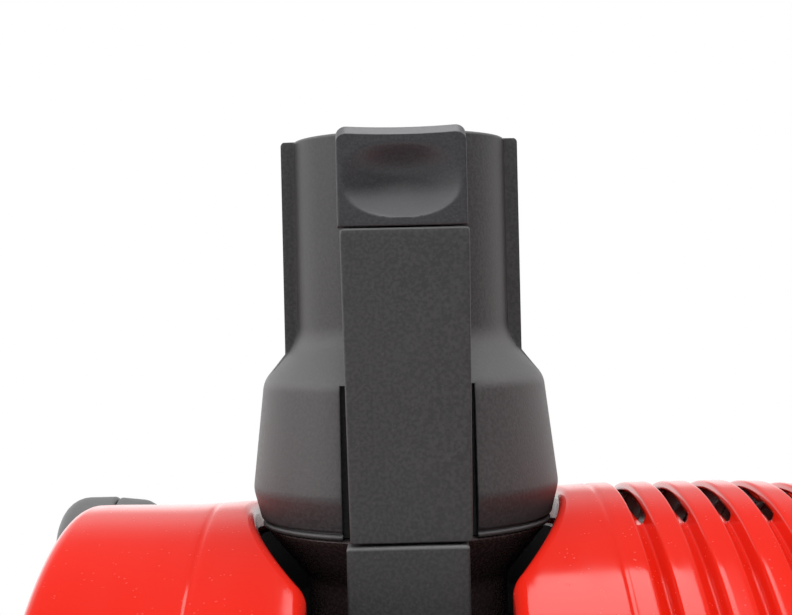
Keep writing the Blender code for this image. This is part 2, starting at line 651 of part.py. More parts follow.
# ---------------------------------------------------------------- motor
def build_motor():
    """Motor can, bridge, stator and the turning armature on its shaft."""
    mount_left = SCROLL_LEFT - GAP - MOUNT_RING_THICKNESS
    can_right = mount_left - GAP
    can_left = can_right - MOTOR_LENGTH
    seat = BEARING_RADIUS + GAP
    front_bearing = can_right - 0.0015
    rear_bearing = can_left + 0.0010
    piece(
        "motor_mount_ring",
        tube("X", mount_left, mount_left + MOUNT_RING_THICKNESS, MOTOR_RADIUS, SCROLL_MOTOR_HOLE + 0.004,
             segments=MOTOR_SEGMENTS),
        drum, RUBBER,
    )
    wall = MOTOR_CAN_WALL
    can = [
        (can_left, MOTOR_RADIUS - wall), (can_left, MOTOR_RADIUS), (can_right, MOTOR_RADIUS),
        (can_right, SHAFT_RADIUS + 0.002), (front_bearing, SHAFT_RADIUS + 0.002),
        (front_bearing, seat), (front_bearing - BEARING_WIDTH, seat),
        (front_bearing - BEARING_WIDTH, seat + 0.002), (can_right - 0.003, seat + 0.002),
        (can_right - 0.003, MOTOR_RADIUS - wall),
    ]
    body = piece("motor_can", turned(can, segments=MOTOR_SEGMENTS), drum, STEEL)
    vents = bmesh.new()
    for k in range(6):
        turn = math.radians(60 * k + 30)
        rod("X", can_right - 0.01, can_right + 0.01, 0.006,
            (0.026 * math.sin(turn), 0.026 * math.cos(turn)), 8, vents)
    boolean(body, cutter("can_vents", vents, drum))

    bridge_profile = [
        (can_left, SHAFT_RADIUS + 0.002), (can_left, MOTOR_RADIUS - wall - GAP),
        (can_left + 0.003, MOTOR_RADIUS - wall - GAP), (can_left + 0.003, seat + 0.003),
        (rear_bearing + BEARING_WIDTH, seat + 0.003), (rear_bearing + BEARING_WIDTH, seat),
        (rear_bearing, seat), (rear_bearing, SHAFT_RADIUS + 0.002),
    ]
    bridge = piece("motor_bridge", turned(bridge_profile, segments=MOTOR_SEGMENTS), drum, BLACK)
    openings = bmesh.new()
    for k in range(6):
        turn = math.radians(60 * k)
        rod("X", can_left - 0.005, can_left + 0.006, 0.0085,
            (0.029 * math.sin(turn), 0.029 * math.cos(turn)), 8, openings)
    boolean(bridge, cutter("bridge_openings", openings, drum), solver="MANIFOLD")

    for name, low in (("front_bearing", front_bearing - BEARING_WIDTH), ("rear_bearing", rear_bearing)):
        inner = SHAFT_RADIUS + SHAFT_CLEARANCE
        ring = tube("X", low + GAP, low + BEARING_WIDTH - GAP, BEARING_RADIUS, inner)
        piece(name, ring, drum, STEEL)

    core_right = front_bearing - BEARING_WIDTH - 0.0060
    core_left = core_right - CORE_LENGTH
    commutator_left = rear_bearing + BEARING_WIDTH + 0.0015
    shaft_left = can_left - 0.0010
    bore = SHAFT_RADIUS + SHAFT_CLEARANCE
    piece("motor_shaft", rod("X", shaft_left, PORT_X + IMPELLER_WIDTH / 2 + NUT_SEAT,
                             SHAFT_RADIUS), drum, STEEL)
    piece("armature_core", tube("X", core_left, core_right, ARMATURE_RADIUS, bore, segments=24),
          drum, STEEL)
    for side, edge, sign in (("left", core_left, -1), ("right", core_right, 1)):
        winding = [
            (edge + sign * GAP, bore + 0.001), (edge + sign * GAP, 0.0230), (edge + sign * 0.0030, 0.0215),
            (edge + sign * 0.0045, 0.0180), (edge + sign * 0.0045, bore + 0.001),
        ]
        piece(f"armature_winding_{side}", turned(winding, segments=18), drum, COPPER)
        low, high = sorted((edge + sign * (0.001 + GAP), edge + sign * 0.0058))
        coil = tube("X", low, high, MOTOR_RADIUS - 0.0050, STATOR_BORE + 0.0018, segments=20)
        piece(f"field_coil_{side}", coil, drum, COPPER)
    commutator_right = core_left - 0.0068
    piece("commutator", tube("X", commutator_left, commutator_right, COMMUTATOR_RADIUS, bore,
                             segments=18), drum, COPPER)
    stator_outer = MOTOR_RADIUS - wall - GAP
    piece("stator_core", tube("X", core_left - 0.001, core_right + 0.001, stator_outer, STATOR_BORE,
                              segments=MOTOR_SEGMENTS), drum, STEEL)
    brush_x = (commutator_left + commutator_right) / 2
    half = BRUSH_SIZE / 2
    start = COMMUTATOR_RADIUS + GAP
    for side, sign in (("front", -1), ("back", 1)):
        y0, y1 = sorted((sign * start, sign * (start + BRUSH_LENGTH)))
        brush = box((brush_x - half, y0, -half), (brush_x + half, y1, half))
        piece(f"brush_{side}", brush, drum, CARBON)
        y0, y1 = sorted((sign * (start + 0.004), sign * (start + BRUSH_LENGTH + 0.001)))
        sleeve = prism(rounded(half + 0.0015, half + 0.0015, 0.0010, (brush_x, 0), 3), y0, y1, "Y")
        y0, y1 = sorted((sign * (start + 0.006), sign * (start + BRUSH_LENGTH)))
        leg = box((can_left + 0.001, y0, -half), (brush_x - half, y1, half))
        boolean(bridge, cutter(f"brush_sleeve_{side}", sleeve, drum), "UNION", "MANIFOLD")
        boolean(bridge, cutter(f"brush_leg_{side}", leg, drum), "UNION", "MANIFOLD")
    hollow = prism(rounded(half + GAP, half + GAP, 0.0002, (brush_x, 0), 3), -0.05, 0.05, "Y")
    boolean(bridge, cutter("brush_hollow", hollow, drum), solver="MANIFOLD")


# ---------------------------------------------------------------- intake
def build_intake():
    """Inlet bell with its spider, filter basket, foam sleeve, cover, stud and knob."""
    bell_left = SCROLL_RIGHT + GAP
    bell_right = bell_left + BELL_THICKNESS
    bell = piece("inlet_bell", tube("X", bell_left, bell_right, BELL_RADIUS, SCROLL_EYE_RADIUS,
                                    segments=MOTOR_SEGMENTS), drum, BLACK)
    spider = rod("X", bell_left, bell_right, 0.0110)
    for k in range(3):
        turn = math.radians(120 * k)
        along = Vector((math.sin(turn), math.cos(turn)))
        across = Vector((along.y, -along.x)) * 0.0025
        start, end = along * 0.008, along * (SCROLL_EYE_RADIUS + 0.004)
        outline = [tuple(p) for p in (start - across, end - across, end + across, start + across)]
        arm = prism(outline, bell_left, bell_right, "X")
        boolean(bell, cutter(f"spider_arm_{k}", arm, drum), "UNION")
    boolean(bell, cutter("spider_hub", spider, drum), "UNION")

    basket_left = bell_right + GAP
    basket_right = RIGHT_END - GAP
    low = BASKET_RADIUS - BASKET_WALL
    flange = BASKET_RADIUS + FOAM_THICKNESS + 0.0020
    basket_bore = BELL_RADIUS - 0.0100
    basket = piece("filter_basket", turned([
        (basket_left, basket_bore), (basket_left, flange), (basket_left + BASKET_WALL, flange),
        (basket_left + BASKET_WALL, BASKET_RADIUS), (basket_right, BASKET_RADIUS), (basket_right, low),
        (basket_left + BASKET_WALL, low), (basket_left + BASKET_WALL, basket_bore),
    ], segments=24), drum, BLACK)
    windows = bmesh.new()
    for k in range(BASKET_BARS):
        turn = 360 / BASKET_BARS * k
        half = 360 / BASKET_BARS / 2 - 3.0
        outline = []
        for radius, sign in ((BASKET_RADIUS + 0.004, 1), (low - 0.004, -1)):
            for n in range(4):
                angle = math.radians(turn + sign * half * (2 * n / 3 - 1))
                outline.append((radius * math.sin(angle), radius * math.cos(angle)))
        prism(outline, basket_left + 0.010, basket_right - 0.010, "X", windows)
    boolean(basket, cutter("basket_windows", windows, drum))
    foam_left = basket_left + BASKET_WALL + GAP
    foam = tube("X", foam_left, basket_right - 0.004, BASKET_RADIUS + FOAM_THICKNESS, BASKET_RADIUS + GAP,
                segments=24)
    piece("foam_filter", foam, drum, FOAM)

    cover_low = RIGHT_END + GAP
    piece("filter_cover", turned([
        (cover_low, STUD_RADIUS + GAP), (cover_low, PLATE_RADIUS), (COVER_OUTER, PLATE_RADIUS - EDGE_BREAK),
        (COVER_OUTER, PLATE_RADIUS - 0.0140), (COVER_OUTER - COVER_DISH, PLATE_RADIUS - 0.0160),
        (COVER_OUTER - COVER_DISH, KNOB_RADIUS + 0.0080),
        (COVER_OUTER, KNOB_RADIUS + 0.006), (COVER_OUTER, STUD_RADIUS + GAP),
    ]), drum, BLACK)
    piece("cover_stud", rod("X", bell_right + GAP, COVER_OUTER + KNOB_HEIGHT * 0.64, STUD_RADIUS, segments=16),
          drum, STEEL)
    knob = empty("knob_frame", (COVER_OUTER + GAP, 0, 0), drum)
    crown = KNOB_HEIGHT * 0.75
    profile = [
        (0, STUD_RADIUS + GAP), (0, KNOB_RADIUS), (KNOB_HEIGHT * 0.36, KNOB_RADIUS),
        (KNOB_HEIGHT * 0.43, KNOB_RADIUS - 0.0010), (crown, KNOB_RADIUS - 0.0030), (crown, 0),
        (crown - 0.0013, 0), (crown - 0.0013, STUD_RADIUS + GAP),
    ]
    body = piece("cover_knob", turned(profile, segments=24), knob, BLACK)
    bar = prism(rounded(KNOB_RADIUS - 0.003, 0.0045, 0.0040), crown - EDGE_BREAK, KNOB_HEIGHT, "X")
    boolean(body, cutter("knob_bar", bar, knob), "UNION")


# ---------------------------------------------------------------- outlet neck and port
def build_neck():
    """Fixed neck with its cone collar and spigot, and the flat spine in front of it."""
    bottom = -(LIP_HEIGHT - SCROLL_SMALL_RADIUS * 0.9)
    seat = -GAP
    outer = [
        (bottom, NECK_RADIUS), (-COLLAR_DEPTH - 0.004, NECK_RADIUS), (-COLLAR_DEPTH, NECK_RADIUS + 0.0015),
        (-0.0025, LIP_RADIUS - 0.0016), (-0.0012, LIP_RADIUS - 0.0008), (seat, LIP_RADIUS - 0.0012),
    ]
    groove = SPIGOT_RADIUS - 0.0014
    spigot = [
        (seat, SPIGOT_RADIUS), (0.0080, SPIGOT_RADIUS), (0.0080, groove), (0.0105, groove),
        (0.0105, SPIGOT_RADIUS), (0.0140, SPIGOT_RADIUS), (0.0140, groove), (0.0160, groove),
        (0.0160, SPIGOT_RADIUS), (SPIGOT_HEIGHT, SPIGOT_RADIUS), (SPIGOT_HEIGHT, NECK_BORE),
        (bottom, NECK_BORE),
    ]
    neck = piece("outlet_neck", turned(outer + spigot, "Z", PORT_SEGMENTS), port, BLACK)
    grown = [(y * (1 + 0.004), z * (1 + 0.004)) for y, z in spiral()]
    saddle = cutter("neck_saddle", prism(grown, PORT_X - 0.03, PORT_X + 0.03, "X"), drum)
    boolean(neck, saddle)

    front = -SPINE_FRONT
    low = WELL_FLOOR - LIP_HEIGHT + GAP
    outline = [
        (-SPINE_WIDTH / 2, -NECK_BORE), (-SPINE_WIDTH / 2, front + 0.0012),
        (-SPINE_WIDTH / 2 + 0.0012, front), (SPINE_WIDTH / 2 - 0.0012, front),
        (SPINE_WIDTH / 2, front + 0.0012), (SPINE_WIDTH / 2, -NECK_BORE),
    ]
    spine = piece("neck_spine", prism(outline, low, -GAP), port, BLACK)
    envelope = [(low - 0.002, 0), (low - 0.002, NECK_RADIUS + GAP)]
    envelope += [(h, r + GAP) for h, r in outer[1:]]
    envelope += [(0.002, LIP_RADIUS - 0.0008), (0.002, 0)]
    boolean(spine, cutter("spine_seat", turned(envelope, "Z", PORT_SEGMENTS), port))


def build_port():
    """Swivelling port body with side wings, latch slot and hook window."""
    ring_top = 0.0108
    ring_low = 0.0077
    pocket_top = 0.0330
    inner = [
        (PORT_HEIGHT, TUBE_BORE + 0.0008), (PORT_HEIGHT - 0.0008, TUBE_BORE),
        (HOSE_STOP_HEIGHT, TUBE_BORE), (HOSE_STOP_HEIGHT, NECK_BORE + 0.0010),
        (HOSE_STOP_HEIGHT - 0.0025, NECK_BORE + 0.0010), (HOSE_STOP_HEIGHT - 0.0025, TUBE_BORE),
        (ring_top, TUBE_BORE), (ring_top, TUBE_BORE + 0.0014), (ring_low, TUBE_BORE + 0.0014),
        (ring_low, TUBE_BORE), (0.0, TUBE_BORE), (0.0, TUBE_RADIUS + 0.0006),
        (pocket_top, TUBE_RADIUS + 0.0006), (pocket_top, SKIRT_RADIUS - 0.0055),
        (0.0120, SKIRT_RADIUS - 0.0030), (0.0, LIP_RADIUS - 0.0025),
    ]
    body = piece("port_body", turned(port_outer() + inner, "Z", PORT_SEGMENTS), port, BLACK)
    corner = 0.0012
    half, top, low = WING_HALF_WIDTH, PORT_HEIGHT - WING_DROP, SLOT_TOP - 0.0190
    outline = [(-half, low), (half, low)]
    outline += arc((half - corner, top - corner), corner, 0, 90, 5)
    outline += arc((-half + corner, top - corner), corner, 90, 180, 5)
    wings = prism(outline, WING_FRONT, WING_FRONT + WING_THICKNESS, "Y")
    bore = rod("Z", low - 0.01, PORT_HEIGHT + 0.01, TUBE_RADIUS - 0.0010, segments=PORT_SEGMENTS)
    wing_pair = cutter("wings", wings, port)
    boolean(wing_pair, cutter("wing_bore", bore, port))
    boolean(body, wing_pair, "UNION")
    slot_half = STRIP_WIDTH_TOP / 2 + STRIP_SLIT
    slot = box((-slot_half, -0.06, -0.01), (slot_half, -TUBE_RADIUS - GAP, SLOT_TOP))
    boolean(body, cutter("strip_slot", slot, port))
    window_low = (-0.0062, -TUBE_RADIUS - 0.0100, HOOK_HEIGHT - 0.0028)
    window = box(window_low, (0.0062, -0.0200, HOOK_HEIGHT + 0.0058))
    boolean(body, cutter("hook_window", window, port))

    groove = SPIGOT_RADIUS - 0.0014
    piece("port_retaining_ring", tube("Z", 0.0080 + GAP, 0.0105 - GAP, TUBE_BORE + 0.0010, groove + GAP,
                                      segments=PORT_SEGMENTS), port, STEEL)
    piece("port_seal", tube("Z", 0.0140 + GAP, 0.0160 - GAP, TUBE_BORE - 0.0002, groove + 0.0002,
                            segments=PORT_SEGMENTS), port, RUBBER)


def build_latch():
    """Latch cover, thumb button with its hook, pin and spring."""
    front = -STRIP_FRONT
    low_half, high_half = STRIP_WIDTH_BOTTOM / 2, STRIP_WIDTH_TOP / 2
    outline = [(-low_half, 0.0002), (low_half, 0.0002), (high_half, STRIP_HEIGHT), (-high_half, STRIP_HEIGHT)]
    cover = piece("latch_cover", prism(outline, front, -0.0255, "Y"), port, BLACK)
    tube_gap = rod("Z", -0.01, PORT_HEIGHT, TUBE_RADIUS + GAP, segments=PORT_SEGMENTS)
    hollow_half = STRIP_WIDTH_TOP / 2 - STRIP_WALL
    hollow = box((-hollow_half, front + STRIP_WALL, HOOK_HEIGHT - 0.0055), (hollow_half, 0, PORT_HEIGHT))
    seat = box((-0.05, -TUBE_RADIUS - 2 * GAP, -0.01), (0.05, 0, SLOT_TOP + GAP))
    for name, tool in (("cover_tube", tube_gap), ("cover_hollow", hollow), ("cover_seat", seat)):
        boolean(cover, cutter(name, tool, port))
    pin_at = (-LATCH_PIN_DEPTH, LATCH_PIN_HEIGHT)
    pin_hole = rod("X", -0.05, 0.05, LATCH_PIN_RADIUS + 0.0001, pin_at, 12)
    boolean(cover, cutter("cover_pin_hole", pin_hole, port))
    piece("latch_pin", rod("X", -hollow_half - 0.0012, hollow_half + 0.0012, LATCH_PIN_RADIUS, pin_at, 12),
          port, STEEL)

    latch = empty("latch_frame", (0, -LATCH_PIN_DEPTH, LATCH_PIN_HEIGHT), port)
    shift = Matrix.Translation((0, LATCH_PIN_DEPTH, -LATCH_PIN_HEIGHT))
    button_low = STRIP_HEIGHT + 0.0004
    button_high = button_low + BUTTON_HEIGHT
    half = BUTTON_WIDTH / 2
    corner = 0.0028
    outline = [(-half, button_low), (half, button_low)]
    outline += arc((half - corner, button_high - corner), corner, 0, 90, 4)
    outline += [(half / 2, button_high - 0.0005), (0, button_high - 0.0008)]
    outline += [(-half / 2, button_high - 0.0005)]
    outline += arc((-half + corner, button_high - corner), corner, 90, 180, 4)
    face = prism(outline, front, front + BUTTON_THICKNESS, "Y")
    face.transform(shift)
    button = piece("thumb_button", face, latch, BLACK)

    dimple = bmesh.new()
    bmesh.ops.create_uvsphere(dimple, u_segments=20, v_segments=10, radius=1.0)
    scale = Matrix.Diagonal((DIMPLE_WIDTH / 2, DIMPLE_DEPTH, DIMPLE_HEIGHT / 2, 1))
    middle = Vector((0, front, (button_low + button_high) / 2))
    dimple.transform(shift @ Matrix.Translation(middle) @ scale)
    boolean(button, cutter("button_dimple", dimple, latch))
    back = -LATCH_PIN_DEPTH + LEVER_THICKNESS / 2
    lever_front = -LATCH_PIN_DEPTH - LEVER_THICKNESS / 2
    wide = LEVER_WIDTH / 2
    hook = box((-0.0050, lever_front, HOOK_HEIGHT), (0.0050, -TUBE_BORE + HOOK_REACH, HOOK_HEIGHT + 0.0035))
    parts = [
        ("shelf", box((-wide, front + 0.0010, button_low), (wide, back, button_low + 0.003))),
        ("lever", box((-wide, lever_front, HOOK_HEIGHT), (wide, back, button_low + 0.002))),
        ("hub", rod("X", -wide, wide, 0.0032, pin_at, 16)),
        ("hook", hook),
    ]
    for name, tool in parts:
        tool.transform(shift)
        boolean(button, cutter("button_" + name, tool, latch), "UNION")
    bore = rod("X", -0.05, 0.05, LATCH_PIN_RADIUS + RUNNING_CLEARANCE / 4, (0, 0), 12)
    boolean(button, cutter("button_bore", bore, latch))
    spring_seat = front + BUTTON_THICKNESS + GAP + SPRING_WIRE / 2
    spring_end = -TUBE_RADIUS - GAP - SPRING_WIRE / 2 - 0.0001
    coil_spring("latch_spring", (0, button_low + 0.016), spring_seat, spring_end, port)


def coil_spring(name, centre, start, end, parent):
    """Compression spring along Y, a closed tube round a helix."""
    points = []
    per_turn = 8
    count = SPRING_TURNS * per_turn
    for k in range(count + 1):
        turn = 2 * math.pi * k / per_turn
        points.append((centre[0] + SPRING_RADIUS * math.cos(turn), start + (end - start) * k / count,
                       centre[1] + SPRING_RADIUS * math.sin(turn)))
    path = [Vector(p) for p in points]
    shape = bmesh.new()
    rings = []
    sides = 5
    for k, point in enumerate(path):
        ahead = path[min(k + 1, count)] - path[max(k - 1, 0)]
        ahead.normalize()
        out = Vector((point.x - centre[0], 0, point.z - centre[1])).normalized()
        side = ahead.cross(out).normalized()
        out = side.cross(ahead)
        ring = []
        for n in range(sides):
            turn = 2 * math.pi * n / sides
            offset = out * math.cos(turn) + side * math.sin(turn)
            ring.append(shape.verts.new(point + offset * SPRING_WIRE / 2))
        rings.append(ring)
    for first, second in zip(rings, rings[1:]):
        for n in range(sides):
            m = (n + 1) % sides
            shape.faces.new((first[n], first[m], second[m], second[n]))
    shape.faces.new(rings[0])
    shape.faces.new(rings[-1])
    pitch = abs(end - start) / SPRING_TURNS
    print(f"{name}: least gap between turns {1000 * (pitch - SPRING_WIRE):.2f} mm")
    return piece(name, shape, parent, STEEL)


# ---------------------------------------------------------------- control end
def build_controls():
    """Control plate with grille, switch, dial, reset button, power inlet and speed board."""
    inner = LEFT_END - GAP
    plate = piece("control_plate", turned([
        (inner, 0), (inner, PLATE_RADIUS), (PLATE_OUTER, PLATE_RADIUS - EDGE_BREAK), (PLATE_OUTER, 0),
    ]), drum, BLACK)
    holes = bmesh.new()
    for k in range(GRILLE_SLOTS):
        turn = 2 * math.pi * k / GRILLE_SLOTS
        along = Vector((math.sin(turn), math.cos(turn)))
        across = Vector((along.y, -along.x)) * GRILLE_SLOT / 2
        near, far = along * GRILLE_INNER, along * GRILLE_RADIUS
        outline = [tuple(p) for p in (near - across / 3, far - across, far + across, near + across / 3)]
        prism(outline, PLATE_OUTER - 0.005, inner + 0.005, "X", holes)
    boolean(plate, cutter("plate_grille", holes, drum), solver="MANIFOLD")

    switch_at = (-CONTROL_RADIUS, CONTROL_SPREAD)
    dial_at = (-CONTROL_RADIUS, -CONTROL_SPREAD)
    reset_at = (-LOW_ROW * 0.4286, -LOW_ROW - 0.0020)
    inlet_at = (LOW_ROW * 0.4857, -LOW_ROW)
    bezel_half = (SWITCH_WIDTH / 2, SWITCH_HEIGHT / 2)
    body_half = (bezel_half[0] - 0.0020, bezel_half[1] - 0.0020)
    cut = bmesh.new()
    for half, at in ((body_half, switch_at), ((INLET_WIDTH / 2 - 0.002, INLET_HEIGHT / 2 - 0.002), inlet_at)):
        opening = rounded(half[0] + GAP, half[1] + GAP, 0.0010, at, 3)
        prism(opening, PLATE_OUTER - 0.01, inner + 0.01, "X", cut)
    rod("X", PLATE_OUTER - 0.01, inner + 0.01, 0.0045, dial_at, 16, cut)
    rod("X", PLATE_OUTER - 0.01, inner + 0.01, RESET_RADIUS + 0.0020 + GAP, reset_at, 20, cut)
    boolean(plate, cutter("plate_openings", cut, drum), solver="MANIFOLD")

    bezel_top = PLATE_OUTER - BEZEL
    switch_box = prism(rounded(*body_half, 0.0008, switch_at, 3), PLATE_OUTER - GAP - 0.0001,
                       inner + SWITCH_DEPTH, "X")
    housing = piece("switch_housing", switch_box, drum, BLACK)
    bezel = prism(rounded(*bezel_half, 0.0020, switch_at, 4), bezel_top, PLATE_OUTER - GAP, "X")
    boolean(housing, cutter("switch_bezel", bezel, drum), "UNION")
    rocker_half = (body_half[0] - 0.0015, body_half[1] - 0.0020)
    hollow = prism(rounded(rocker_half[0] + 0.0004, rocker_half[1] + 0.0007, 0.0006, switch_at, 3),
                   bezel_top - 0.01, inner + 0.0100, "X")
    boolean(housing, cutter("switch_hollow", hollow, drum))
    rocker_frame = empty("rocker_frame", (PLATE_OUTER + 0.0020, *switch_at), drum)
    length = rocker_half[1]
    profile = [(0.0045, -0.003), (0.0045, 0.003), (-0.0005, length - 0.0008), (-0.0048, length - 0.0006)]
    profile += [(-0.0040, length * 0.5), (-0.0034, 0), (-0.0040, -length * 0.5)]
    profile += [(-0.0048, -length + 0.0006), (-0.0005, -length + 0.0008)]
    tilt = math.radians(ROCKER_TILT)
    cos, sin = math.cos(tilt), math.sin(tilt)
    leaned = [(x * cos + z * sin, -x * sin + z * cos) for x, z in profile]
    piece("switch_rocker", prism(leaned, -rocker_half[0], rocker_half[0], "Y"), rocker_frame, BLACK)

    dial_frame = empty("dial_frame", (PLATE_OUTER - GAP, *dial_at), drum)
    dial = piece("speed_dial", turned([
        (0, 0.0035), (0, DIAL_RADIUS), (-0.0020, DIAL_RADIUS), (-0.0030, DIAL_RADIUS - 0.0015),
        (-DIAL_HEIGHT + 0.0010, DIAL_RADIUS - 0.0030), (-DIAL_HEIGHT, DIAL_RADIUS - 0.0042),
        (-DIAL_HEIGHT, 0), (-0.0080, 0), (-0.0080, 0.0035),
    ], segments=20), dial_frame, BLACK)
    mark = box((-DIAL_HEIGHT - 0.001, -0.0006, 0.0030), (-DIAL_HEIGHT + 0.0006, 0.0006, DIAL_RADIUS))
    boolean(dial, cutter("dial_mark", mark, dial_frame))
    control = piece("speed_control", rod("X", inner + GAP, inner + 0.0120, 0.0090, dial_at, 24), drum, STEEL)
    stem = rod("X", PLATE_OUTER - 0.0070, inner + 0.0010, 0.0030, dial_at, 16)
    boolean(control, cutter("control_stem", stem, drum), "UNION")

    piece("breaker_body", turned([
        (PLATE_OUTER - 0.0012, RESET_RADIUS + GAP), (PLATE_OUTER - 0.0012, RESET_RADIUS + 0.0040),
        (PLATE_OUTER - GAP, RESET_RADIUS + 0.0040), (PLATE_OUTER - GAP, RESET_RADIUS + 0.0020),
        (inner + 0.0150, RESET_RADIUS + 0.0020), (inner + 0.0150, 0), (inner + 0.0080, 0),
        (inner + 0.0080, RESET_RADIUS + GAP),
    ], "X", 24, reset_at), drum, BLACK)
    reset_frame = empty("reset_frame", (PLATE_OUTER, *reset_at), drum)
    piece("reset_button", turned([
        (0.0060, 0), (0.0060, RESET_RADIUS - 0.0001), (-0.0035, RESET_RADIUS - 0.0001),
        (-0.0042, RESET_RADIUS - 0.0008), (-0.0042, 0),
    ], segments=20), reset_frame, RED)

    inlet_half = (INLET_WIDTH / 2 - 0.0020, INLET_HEIGHT / 2 - 0.0020)
    inlet_box = prism(rounded(*inlet_half, 0.0010, inlet_at, 3), PLATE_OUTER - GAP - 0.0001,
                      inner + INLET_DEPTH, "X")
    inlet = piece("power_inlet", inlet_box, drum, BLACK)
    rim = prism(rounded(INLET_WIDTH / 2, INLET_HEIGHT / 2, 0.0030, inlet_at, 4), PLATE_OUTER - 0.0018,
                PLATE_OUTER - GAP, "X")
    boolean(inlet, cutter("inlet_rim", rim, drum), "UNION")
    mouth = rounded(INLET_WIDTH / 2 - INLET_FRAME, INLET_HEIGHT / 2 - INLET_FRAME, 0.0030, inlet_at, 4)
    socket = prism(mouth, PLATE_OUTER - INLET_DEPTH, inner + INLET_DEPTH - INLET_FRAME, "X")
    boolean(inlet, cutter("inlet_socket", socket, drum))
    pins = bmesh.new()
    for y, z in ((-PIN_PITCH, -0.0015), (0.0, 0.0020), (PIN_PITCH, -0.0015)):
        at = (inlet_at[0] + y, inlet_at[1] + z)
        blade = rounded(0.0010, 0.0020, 0.0004, at, 3)
        prism(blade, inner + 0.0050, inner + INLET_DEPTH + INLET_FRAME, "X", pins)
    boolean(inlet, cutter("inlet_pins", pins, drum), "UNION")

    board_x = LEFT_END + BOARD_DEPTH
    low = (BOARD_NEAR, 0.0050 - BOARD_HEIGHT / 2)
    high = (BOARD_NEAR + BOARD_WIDTH, low[1] + BOARD_HEIGHT)
    piece("speed_board", box((board_x, *low), (board_x + BOARD_THICKNESS, *high)), drum, BOARD)
    posts = bmesh.new()
    for y in (low[0] + 0.004, high[0] - 0.004):
        for z in (low[1] + 0.004, high[1] - 0.004):
            rod("X", PLATE_OUTER + 0.001, board_x - GAP, POST_RADIUS, (y, z), 12, posts)
    boolean(plate, cutter("board_posts", posts, drum), "UNION", "MANIFOLD")


# ---------------------------------------------------------------- handle
def build_handle():
    """Two end brackets with axles, and the folding handle they carry."""
    pivot = (PIVOT_BACK, PIVOT_HEIGHT)
    bail = empty("handle_frame", (0, *pivot), drum)
    envelope_left = [(x, r + GAP) for x, r in left_outer()]
    envelope_right = [(x, r + GAP) for x, r in right_outer(grooves=False)]
    arm_inner = DRUM_LENGTH / 2 + ARM_CLEARANCE
    arm_outer = arm_inner + ARM_THICKNESS
    for name, sign, outer in (("left", -1, envelope_left), ("right", 1, envelope_right)):
        end = sign * DRUM_LENGTH / 2
        face = end + sign * (ARM_CLEARANCE - GAP)
        reach = 0.011 if sign < 0 else 0.024
        lump = [(face, 0), (face, EYE_RADIUS), (end - sign * reach * 0.55, EYE_RADIUS - 0.0010),
                (end - sign * reach * 0.85, EYE_RADIUS - 0.0035), (end - sign * reach, EYE_RADIUS - 0.0070),
                (end - sign * reach, 0)]
        axle = rod("X", *sorted((face - sign * 0.001, sign * (arm_outer - 0.002))), PIVOT_RADIUS, pivot,
                   PIVOT_SEGMENTS)
        bracket = piece(f"handle_bracket_{name}", turned(lump, "X", 20, pivot), drum, BLACK)
        trim = [(outer[0][0], 0), *outer, (end + sign * GAP, outer[-1][1])]
        trim += [(end + sign * GAP, 0)]
        boolean(bracket, cutter(f"bracket_trim_{name}", turned(trim), drum))
        boolean(bracket, cutter(f"bracket_axle_{name}", axle, drum), "UNION")
        build_arm(name, sign, arm_inner, arm_outer, bail)
        low, high = sorted((sign * (arm_outer - 0.002 + GAP), sign * (arm_outer - 0.0001)))
        piece(f"handle_cap_{name}", rod("X", low, high, PIVOT_RADIUS + 0.0030, pivot), drum, BLACK)

    grip = (GRIP_BACK - PIVOT_BACK, GRIP_HEIGHT - PIVOT_HEIGHT)
    grip_half = arm_inner - GRIP_MARGIN
    ends = [(-grip_half, GRIP_RADIUS - 0.002), (-grip_half + 0.004, GRIP_RADIUS)]
    bulge = [(grip_half * k / 4, GRIP_RADIUS - 0.0012 * abs(math.sin(math.pi * k / 2))) for k in range(-3, 4)]
    profile = [(-grip_half, HANDLE_TUBE_RADIUS + GAP), *ends, *bulge]
    profile += [(grip_half - 0.004, GRIP_RADIUS), (grip_half, GRIP_RADIUS - 0.002),
                (grip_half, HANDLE_TUBE_RADIUS + GAP)]
    piece("handle_grip", turned(profile, "X", 16, grip), bail, RUBBER)
    half = arm_inner + TUBE_SOCKET
    piece("handle_tube", tube("X", -half, half, HANDLE_TUBE_RADIUS, HANDLE_TUBE_RADIUS - HANDLE_TUBE_WALL, grip, 16),
          bail, STEEL)


def build_arm(name, sign, inner, outer, bail):
    """One handle arm: a rounded tapering bar between the pivot eye and the grip tube."""
    grip = Vector((GRIP_BACK - PIVOT_BACK, GRIP_HEIGHT - PIVOT_HEIGHT))
    along = math.degrees(math.atan2(grip.y, grip.x))
    fall = math.degrees(math.asin((EYE_RADIUS - GRIP_RADIUS) / grip.length))
    outline = arc((0, 0), EYE_RADIUS, along + 90 - fall, along + 270 + fall, 12)
    outline += arc(tuple(grip), GRIP_RADIUS, along - 90 + fall, along + 90 - fall, 8)
    low, high = sorted((sign * inner, sign * outer))
    arm = piece(f"handle_arm_{name}", prism(outline, low, high, "X"), bail, BLACK)
    bevelled(arm, ARM_EDGE)
    hole = rod("X", -outer, outer, PIVOT_RADIUS * PIVOT_FIT, (0, 0), PIVOT_SEGMENTS)
    boolean(arm, cutter(f"arm_bore_{name}", hole, bail))
    counter_ends = sorted((sign * (outer - 0.0024), sign * (outer + 0.0100)))
    counter = rod("X", *counter_ends, PIVOT_RADIUS + 0.0036, (0, 0))
    boolean(arm, cutter(f"arm_counterbore_{name}", counter, bail))
    socket = rod("X", *sorted((0.0, sign * (inner + TUBE_SOCKET + 0.0002))), HANDLE_TUBE_RADIUS + GAP, tuple(grip), 16)
    boolean(arm, cutter(f"arm_socket_{name}", socket, bail))


